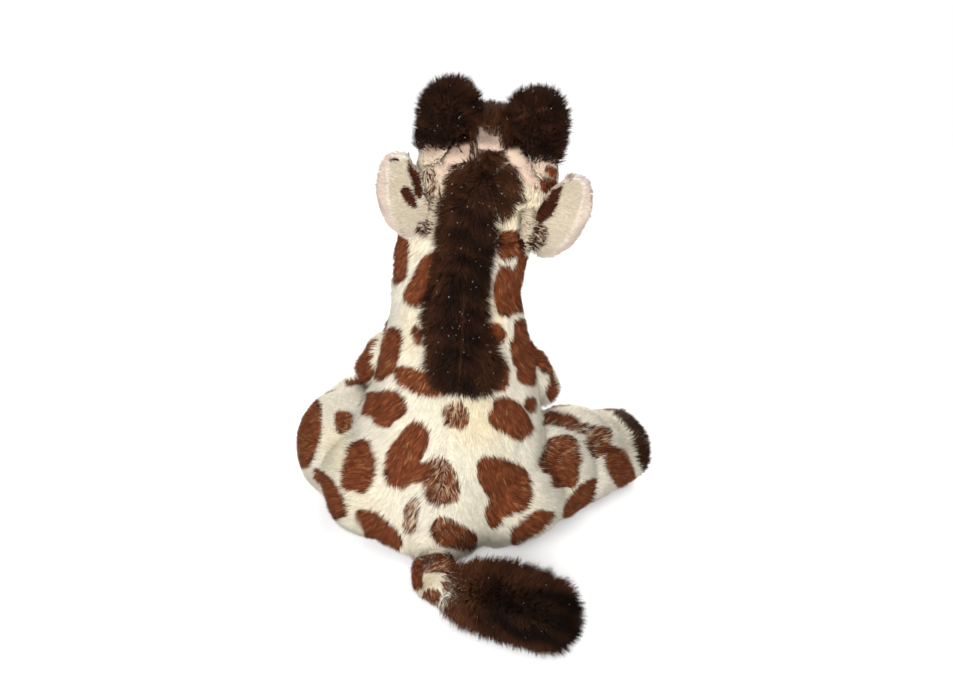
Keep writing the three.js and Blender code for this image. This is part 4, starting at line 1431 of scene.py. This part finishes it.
def ear_paint(distance, sign):
    """Olive cream with spots, and a pale pink rim behind a white seam line, which is a painted highlight on
    the seam.
    """
    narrow, broad, seam_width, blur, ragged = 0.8 * MM, 4.4 * MM, 0.5 * MM, 0.4 * MM, 0.3 * MM

    def paint(places, normals, rng, clumps):
        olive, lining, deep, straw = own_colours("olive", "lining", "deep_brown", "straw")
        away, count = distance(places), len(places)
        out = sign * places[:, 0]
        aside = (out - out.mean()) / (10 * MM)
        high = (places[:, 2] - places[:, 2].mean()) / (15 * MM)
        band = narrow + broad * ease(aside - 0.6 * high, -0.1, 0.9) * ease(aside, -0.5, 0.3)
        streak = 0.7 * rng.normal(0, 1, count)[clumps] + 0.6 * rng.normal(0, 1, count)
        hairs = ease(streak, 0.4, 1.3) * ease(out, out.min() + 16 * MM, out.min() + 5 * MM)
        base = blend(olive * np.exp(0.07 * streak)[:, None], straw * 0.55, 0.8 * hairs)
        shaken = places + rng.normal(0, ragged, (count, 3))
        share = np.maximum(*(seen_share(table, shaken, normals, 0.1) for table in (SPOTS, EAR_SPOTS)))
        dice = rng.uniform(0, 1, count)
        spot = (share > 0.15 + 0.7 * (0.5 * dice[clumps] + 0.5 * dice)).astype(float)
        base = blend(base, 0.8 * deep * np.exp(0.4 * streak)[:, None], spot)
        rim = ease(away + 0.25 * MM * streak, band + blur, band - blur)
        base = blend(base, lining * np.exp(0.04 * streak)[:, None], rim)
        # Painted highlight: the seam line at the rim is whitened
        seam = np.exp(-(((away - band) / seam_width) ** 2))
        base = blend(base, 1, 0.45 * seam * (1 - spot))
        # Darker roots: painted shade deep in the pile
        return base * 0.82, base

    return paint


class GIRAFFE_OT_ears(bpy.types.Operator):
    """Grows the pile of the ears: spotted behind, pale pink in front"""

    bl_idname = "giraffe.ears"
    bl_label = "Ears"

    def execute(self, context):
        for seed, (side, sign) in enumerate(SIDES.items(), SEEDS["ear"]):
            skin = bpy.data.objects["ear_skin_" + side]
            distance, front = ear_rim(skin, sign)
            places, normals = surface_of(skin.data)
            alone = np.arange(len(places))
            behind, inside = (
                paint(places, normals, np.random.default_rng(seed), alone)[1]
                for paint in (ear_paint(distance, sign), plain_paint("lining")))
            store_colours(skin.data, "tint", np.where((normals @ front > 0.15)[:, None], inside, behind))
            for name, slot, facing, paint, count in (
                ("ear_pile_", "spotted_plush", lambda p, n, dice: n @ front <= 0.15,
                 ear_paint(distance, sign), 1.3),
                ("ear_lining_pile_", "lining_cloth", lambda p, n, dice: n @ front > 0.15,
                 plain_paint("lining", 0.85), 0.9),
            ):
                coat(name + side, skin.name, seed, to_flow(sign, 0.1, 0.1), facing,
                     "pile", paint, length=SHORT_PILE, count=count, beside=["trunk_skin", "head_skin"])
        return {"FINISHED"}


class GIRAFFE_OT_fur(bpy.types.Operator):
    """Grows the long dark fur of the mane, knobs, hooves and tuft"""

    bl_idname = "giraffe.fur"
    bl_label = "Dark fur"

    def execute(self, context):
        coat("mane_fur", "mane_skin", SEEDS["mane"], mane_flow,
             lambda p, n, dice: n[:, 1] > -0.4, "fur", dark_paint(mane_frost_and_rim_light), glints=0.005)
        coat("crown_fur", "head_skin", SEEDS["crown"], to_flow(0, -0.3, 1),
             lambda p, n, dice: crown_share(p, n) > 0.2 + 0.8 * dice, "fur", dark_paint(0.85),
             length=0.75, lean=0.3, beside=[*KNOB_SKINS, "mane_skin", "trunk_skin"], glints=0.003)
        coat("wing_fur", "head_skin", SEEDS["wing"], mane_flow,
             lambda p, n, dice: wing_share(p, n) > 0.2 + 0.8 * dice, "fur", dark_paint(1.0), length=0.8,
             lean=0.9, beside=[*KNOB_SKINS, "trunk_skin"], glints=0.003)
        # The tuft's fur is darkened to 0.55 of the dark colour, below the mane's, which is painted shade
        coat("tuft_fur", "tail_skin", SEEDS["tuft"],
             line_flow(TAIL_LINE), lambda p, n, dice: hoof_share("tail", p) > dice, "fur",
             dark_paint(tuft_frost_and_rim_light, 0.55), lean=0.5, length=1.15, glints=0.002)
        for turn, side in enumerate(SIDES):
            knob = "ossicone_skin_" + side
            coat("ossicone_fur_" + side, knob, SEEDS["knob"] + turn,
                 to_flow(0, 0.1, 1), lambda p, n, dice, side=side: foot_share(side, p) < dice, "fur",
                 dark_paint(knob_frost, 0.8), beside=["head_skin"], length=0.8, lean=0.35, glints=0.003)
            coat("ossicone_foot_" + side, knob, SEEDS["knob_foot"] + turn,
                 HEAD_FLOW, lambda p, n, dice, side=side: foot_share(side, p) > dice, "pile",
                 pile_paint(True), beside=["head_skin"], length=SHORT_PILE, count=1.15)
            for limb, length, count in (("hind_leg", 0.62, 1.0), ("foreleg", 0.5, 0.7)):
                skin, body, hoof = f"{limb}_skin_{side}", f"{side}_{limb}", LIMBS[limb]
                coat(f"{hoof}_fur_{side}", skin, SEEDS["hoof"] + turn,
                     line_flow(limb_line(body, f"{hoof}_{side}")),
                     lambda p, n, dice, skin=skin: dark_share(skin, p, n) > dice, "fur",
                     dark_paint(0.8), length=length, lean=0.9, count=count)
        return {"FINISHED"}


# Face

MUZZLE_MIDDLE = (-2, 141.5)  # across and up, in millimetres
NOSTRIL = {"aside": 6.4, "rise": 7.0, "long": 2.7, "wide": 1.35, "tilt": 28, "pitch": 0.55}
MOUTH = {"half": 10.5, "drop": 9.8, "bow": 4.4, "stitch": 2.3}
THREAD_RADIUS = 0.42 * MM
EYE = {"radius": 4.6 * MM, "rise": 3.4 * MM, "skirt": 1.2 * MM, "turn": 52}  # degrees to the side


def on_muzzle(across, up):
    """The place on the muzzle's front at a distance across and up from its middle, in millimetres."""
    if "face" not in PAINTED:
        mesh = bpy.data.objects["head_skin"].data
        PAINTED["face"] = surface_tree(mesh)
    start = Vector((MUZZLE_MIDDLE[0] + across, -120, MUZZLE_MIDDLE[1] + up)) * MM
    hit, normal, _, _ = PAINTED["face"].ray_cast(start, Vector((0, 1, 0)))
    if hit is None:
        raise ValueError(f"no muzzle at {across}, {up}")
    return np.array(hit), np.array(normal)


def stitches():
    """Each stitch of the face as its two ends and the way out of the skin."""
    pairs = []
    tilt = math.radians(NOSTRIL["tilt"])
    steps = int(NOSTRIL["long"] / NOSTRIL["pitch"])
    for sign in SIDES.values():
        along = np.array([sign * math.cos(tilt), math.sin(tilt)])
        across = np.array([-along[1], along[0]])
        middle = np.array([sign * NOSTRIL["aside"], NOSTRIL["rise"]])
        for step in range(-steps, steps + 1):
            spot = step * NOSTRIL["pitch"]
            half = NOSTRIL["wide"] * math.sqrt(1 - (spot / (NOSTRIL["long"] + 0.1)) ** 2)
            pairs.append([middle + along * spot + across * end * half for end in (-1, 1)])
    count = round(2 * MOUTH["half"] / MOUTH["stitch"])
    line = [np.array([x, -MOUTH["drop"] + MOUTH["bow"] * ((x / MOUTH["half"]) ** 2 - 1)])
            for x in np.linspace(-MOUTH["half"], MOUTH["half"], count + 1)]
    pairs += zip(line[:-1], line[1:])
    out = []
    for start, end in pairs:
        (a, n), (b, m) = on_muzzle(*start), on_muzzle(*end)
        out.append((a, b, unit(n + m)))
    return out


def clear_of_stitches(places):
    """Which places have no stitch on them."""
    spots = [a + (b - a) * share for a, b, _ in stitches() for share in (0, 0.33, 0.67, 1)]
    tree, clearance = point_tree(spots), 1.1 * MM
    return np.array([tree.find(place)[2] > clearance for place in places])


class GIRAFFE_OT_face(bpy.types.Operator):
    """Stitches the nostrils and the mouth"""

    bl_idname = "giraffe.face"
    bl_label = "Stitched face"

    def execute(self, context):
        def thread(finish):
            fibres = finish.noise(3000, 3)
            colour = tuple(own_colours("thread")[0])
            finish.close(
                Base_Color=finish.tinted(colour, fibres * 0.5, tuple(0.5 * c for c in colour)),
                Roughness=0.55, Sheen_Weight=0.2)

        bm = bmesh.new()
        for a, b, out in stitches():
            along = unit(b - a)
            side = np.cross(out, along)
            half = np.linalg.norm(b - a) / 2 + 0.5 * THREAD_RADIUS
            matrix = matrix_of(
                along * half, unit(side) * THREAD_RADIUS, unit(np.cross(along, side)) * THREAD_RADIUS,
                (a + b) / 2 + out * THREAD_RADIUS * 0.8)
            bmesh.ops.create_uvsphere(bm, u_segments=8, v_segments=5, radius=1, matrix=matrix)
        bmesh.ops.recalc_face_normals(bm, faces=bm.faces[:])
        piece = object_from("face_stitches", bm)
        piece.data.shade_smooth()
        wear(piece.data, "thread", thread)
        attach(piece, "torso")
        return {"FINISHED"}


class GIRAFFE_OT_eyes(bpy.types.Operator):
    """Makes the glossy eyes"""

    bl_idname = "giraffe.eyes"
    bl_label = "Eyes"

    def execute(self, context):
        def gloss(finish):
            black, pupil, edge = (0.004, 0.003, 0.003), (0.005, 0.004, 0.003), (0.006, 0.004, 0.003)
            iris = tuple(own_colours("eye")[0])
            stops = [(0.0, black), (0.5, pupil), (0.6, iris), (0.85, iris), (0.95, edge)]
            finish.close(
                Base_Color=finish.ramp(finish.attribute("rim", "Fac"), stops),
                Roughness=finish.noise(700, 2) * 0.05 + 0.04, Coat_Weight=0.3, Coat_Roughness=0.03)

        for side, sign in SIDES.items():
            turn = math.radians(EYE["turn"])
            out = np.array([sign * math.sin(turn), -math.cos(turn), 0])
            solid = places_of(frame["nodes"]["eye_" + side].data)
            centre = solid[np.argmax(solid @ out)] - out * EYE["rise"]
            bm = bmesh.new()
            bmesh.ops.create_uvsphere(bm, u_segments=48, v_segments=24, radius=EYE["radius"])
            bmesh.ops.scale(bm, vec=(1, 1, EYE["rise"] / EYE["radius"]), verts=bm.verts)
            bmesh.ops.bisect_plane(
                bm, geom=bm.verts[:] + bm.edges[:] + bm.faces[:], plane_co=(0, 0, -EYE["skirt"]),
                plane_no=(0, 0, -1), clear_outer=True)
            bmesh.ops.holes_fill(bm, edges=bm.edges[:])
            rim = [math.hypot(v.co.x, v.co.y) / EYE["radius"] for v in bm.verts]
            facing = Vector((0, 0, 1)).rotation_difference(Vector(out)).to_matrix().to_4x4()
            bmesh.ops.transform(bm, matrix=Matrix.Translation(Vector(centre)) @ facing, verts=bm.verts)
            piece = object_from("eye_dome_" + side, bm)
            piece.data.attributes.new("rim", "FLOAT", "POINT").data.foreach_set("value", rim)
            piece.data.shade_smooth()
            wear(piece.data, "eye_gloss", gloss)
            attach(piece, "torso")
            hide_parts("eye_" + side)
        return {"FINISHED"}


class GIRAFFE_OT_inside(bpy.types.Operator):
    """Finishes what the skins hide: the pellet bag and the eyes' washers"""

    bl_idname = "giraffe.inside"
    bl_label = "Inside"

    def execute(self, context):
        def plastic(finish):
            flow = finish.noise(160, 3)
            finish.close(
                Base_Color=finish.tinted((0.80, 0.80, 0.78), flow, (0.72, 0.72, 0.70)),
                Roughness=flow * 0.2 + 0.4)

        def calico(finish):
            warp, weft = (
                finish.node(
                    "ShaderNodeTexWave", {"Vector": finish.place(), "Scale": 420, "Distortion": 0.6},
                    output="Fac", bands_direction=way)
                for way in ("X", "Z"))
            weave = warp * weft
            finish.close(
                Base_Color=finish.tinted((0.62, 0.55, 0.43), weave, (0.75, 0.69, 0.56)),
                Roughness=0.95, Normal=finish.bump(0.5, 0.2 * MM, weave))

        for side in SIDES:
            wear(frame["nodes"]["eye_washer_" + side].data, "washer_plastic", plastic)
        bag = stuffed_skin("pellet_sack", ["pellet_bag"], smoothing=3, inset=THIN_INSET)
        mesh = bag.data
        places, normals = surface_of(mesh)
        pellet_spread, pellet_height = 3.2 * MM, 0.25 * MM
        pellets = waves(places, pellet_spread, SEEDS["pellets"]) * pellet_height
        move_points(mesh, places + normals * pellets[:, None])
        wear(mesh, "calico", calico)
        dress(bag, "torso", ["pellet_bag"])
        return {"FINISHED"}


# Each lamp's place and width in metres, and its power in watts
LAMPS = {
    "key": ((0.25, 1.45, 0.95), 0.6, 26),
    "low": ((-0.1, 1.5, 0.3), 0.8, 13),
    "top": ((-0.5, 0.1, 1.9), 1.4, 9),
    "front": ((0.3, -1.5, 0.9), 1.2, 34),
}
LAMP_AIM = (0, 0, 0.08)
SKY_LIGHT = 0.42
WHITE = (1, 1, 1)
FLOOR_SIZE = 6
FLOOR_FADE = (0.22, 0.5)  # the floor goes over to plain white between these distances, in metres


class GIRAFFE_OT_stage(bpy.types.Operator):
    """Lays the floor and hangs the lights"""

    bl_idname = "giraffe.stage"
    bl_label = "Stage"

    def execute(self, context):
        def lit_floor(finish):
            to_eye = finish.node("ShaderNodeLightPath", output="Is Camera Ray")
            diffuse = finish.node("ShaderNodeBsdfDiffuse", {"Color": (0.82, 0.82, 0.82)})
            glow, white = (
                finish.node("ShaderNodeEmission", {"Color": WHITE, "Strength": strength})
                for strength in (0.3, 1))
            away = finish.node(
                "ShaderNodeVectorMath", {0: finish.place()}, output="Value", operation="LENGTH")
            far = finish.node(
                "ShaderNodeMapRange", {"Value": away, "From Min": FLOOR_FADE[0], "From Max": FLOOR_FADE[1]},
                interpolation_type="SMOOTHSTEP")
            both = finish.node("ShaderNodeAddShader", {0: diffuse, 1: glow})
            faded = finish.node("ShaderNodeMixShader", {0: far, 1: both, 2: white})
            mixed = finish.node("ShaderNodeMixShader", {0: to_eye, 1: diffuse, 2: faded})
            finish.node("ShaderNodeOutputMaterial", {"Surface": mixed})

        bm = bmesh.new()
        bmesh.ops.create_grid(bm, x_segments=1, y_segments=1, size=FLOOR_SIZE)
        floor = object_from("floor", bm)
        wear(floor.data, "floor", lit_floor)
        for name, (place, size, power) in LAMPS.items():
            lamp = bpy.data.lights.new(name, "AREA")
            lamp.size, lamp.energy = size, power
            held = new_object(name, lamp)
            held.location = place
            aim = Vector(LAMP_AIM) - Vector(place)
            held.rotation_euler = aim.to_track_quat("-Z", "Y").to_euler()
        world = bpy.data.worlds.new("studio")
        sky = nodes_of(world)
        to_eye = sky.node("ShaderNodeLightPath", output="Is Camera Ray")
        soft, white = (
            sky.node("ShaderNodeBackground", {"Color": WHITE, "Strength": strength})
            for strength in (SKY_LIGHT, 1))
        mixed = sky.node("ShaderNodeMixShader", {0: to_eye, 1: soft, 2: white})
        sky.node("ShaderNodeOutputWorld", {"Surface": mixed})
        context.scene.world = world
        context.scene.view_settings.view_transform = "Standard"
        return {"FINISHED"}


class GIRAFFE_PT_panel(bpy.types.Panel):
    """Lists the giraffe's pieces in the sidebar"""

    bl_idname = "GIRAFFE_PT_panel"
    bl_label = "Plush giraffe"
    bl_space_type = "VIEW_3D"
    bl_region_type = "UI"
    bl_category = "Giraffe"

    def draw(self, context):
        for operator in OPERATORS:
            self.layout.operator(operator.bl_idname)
        for name in GROUPS:
            group = getattr(context.scene, "giraffe_" + name)
            box = self.layout.box()
            for prop in group.bl_rna.properties:
                if not prop.is_readonly and prop.identifier != "name":
                    box.prop(group, prop.identifier)


GROUPS = {
    "view": GiraffeView,
    "stuffing": GiraffeStuffing,
    "pile": GiraffePile,
    "colours": GiraffeColours,
}
OPERATORS = (
    GIRAFFE_OT_camera,
    GIRAFFE_OT_skins,
    GIRAFFE_OT_pile,
    GIRAFFE_OT_ears,
    GIRAFFE_OT_fur,
    GIRAFFE_OT_face,
    GIRAFFE_OT_eyes,
    GIRAFFE_OT_inside,
    GIRAFFE_OT_stage,
)
CLASSES = (*GROUPS.values(), *OPERATORS, GIRAFFE_PT_panel)


def register():
    for made in CLASSES:
        bpy.utils.register_class(made)
    for name, group in GROUPS.items():
        setattr(bpy.types.Scene, "giraffe_" + name, PointerProperty(type=group))


def unregister():
    for name in GROUPS:
        delattr(bpy.types.Scene, "giraffe_" + name)
    for made in reversed(CLASSES):
        bpy.utils.unregister_class(made)


def main():
    register()
    strand_shape("lock")
    for operator in OPERATORS:
        family, name = operator.bl_idname.split(".")
        getattr(getattr(bpy.ops, family), name)()
    bpy.data.objects.remove(bpy.data.objects["lock"])


if __name__ == "__main__":
    main()
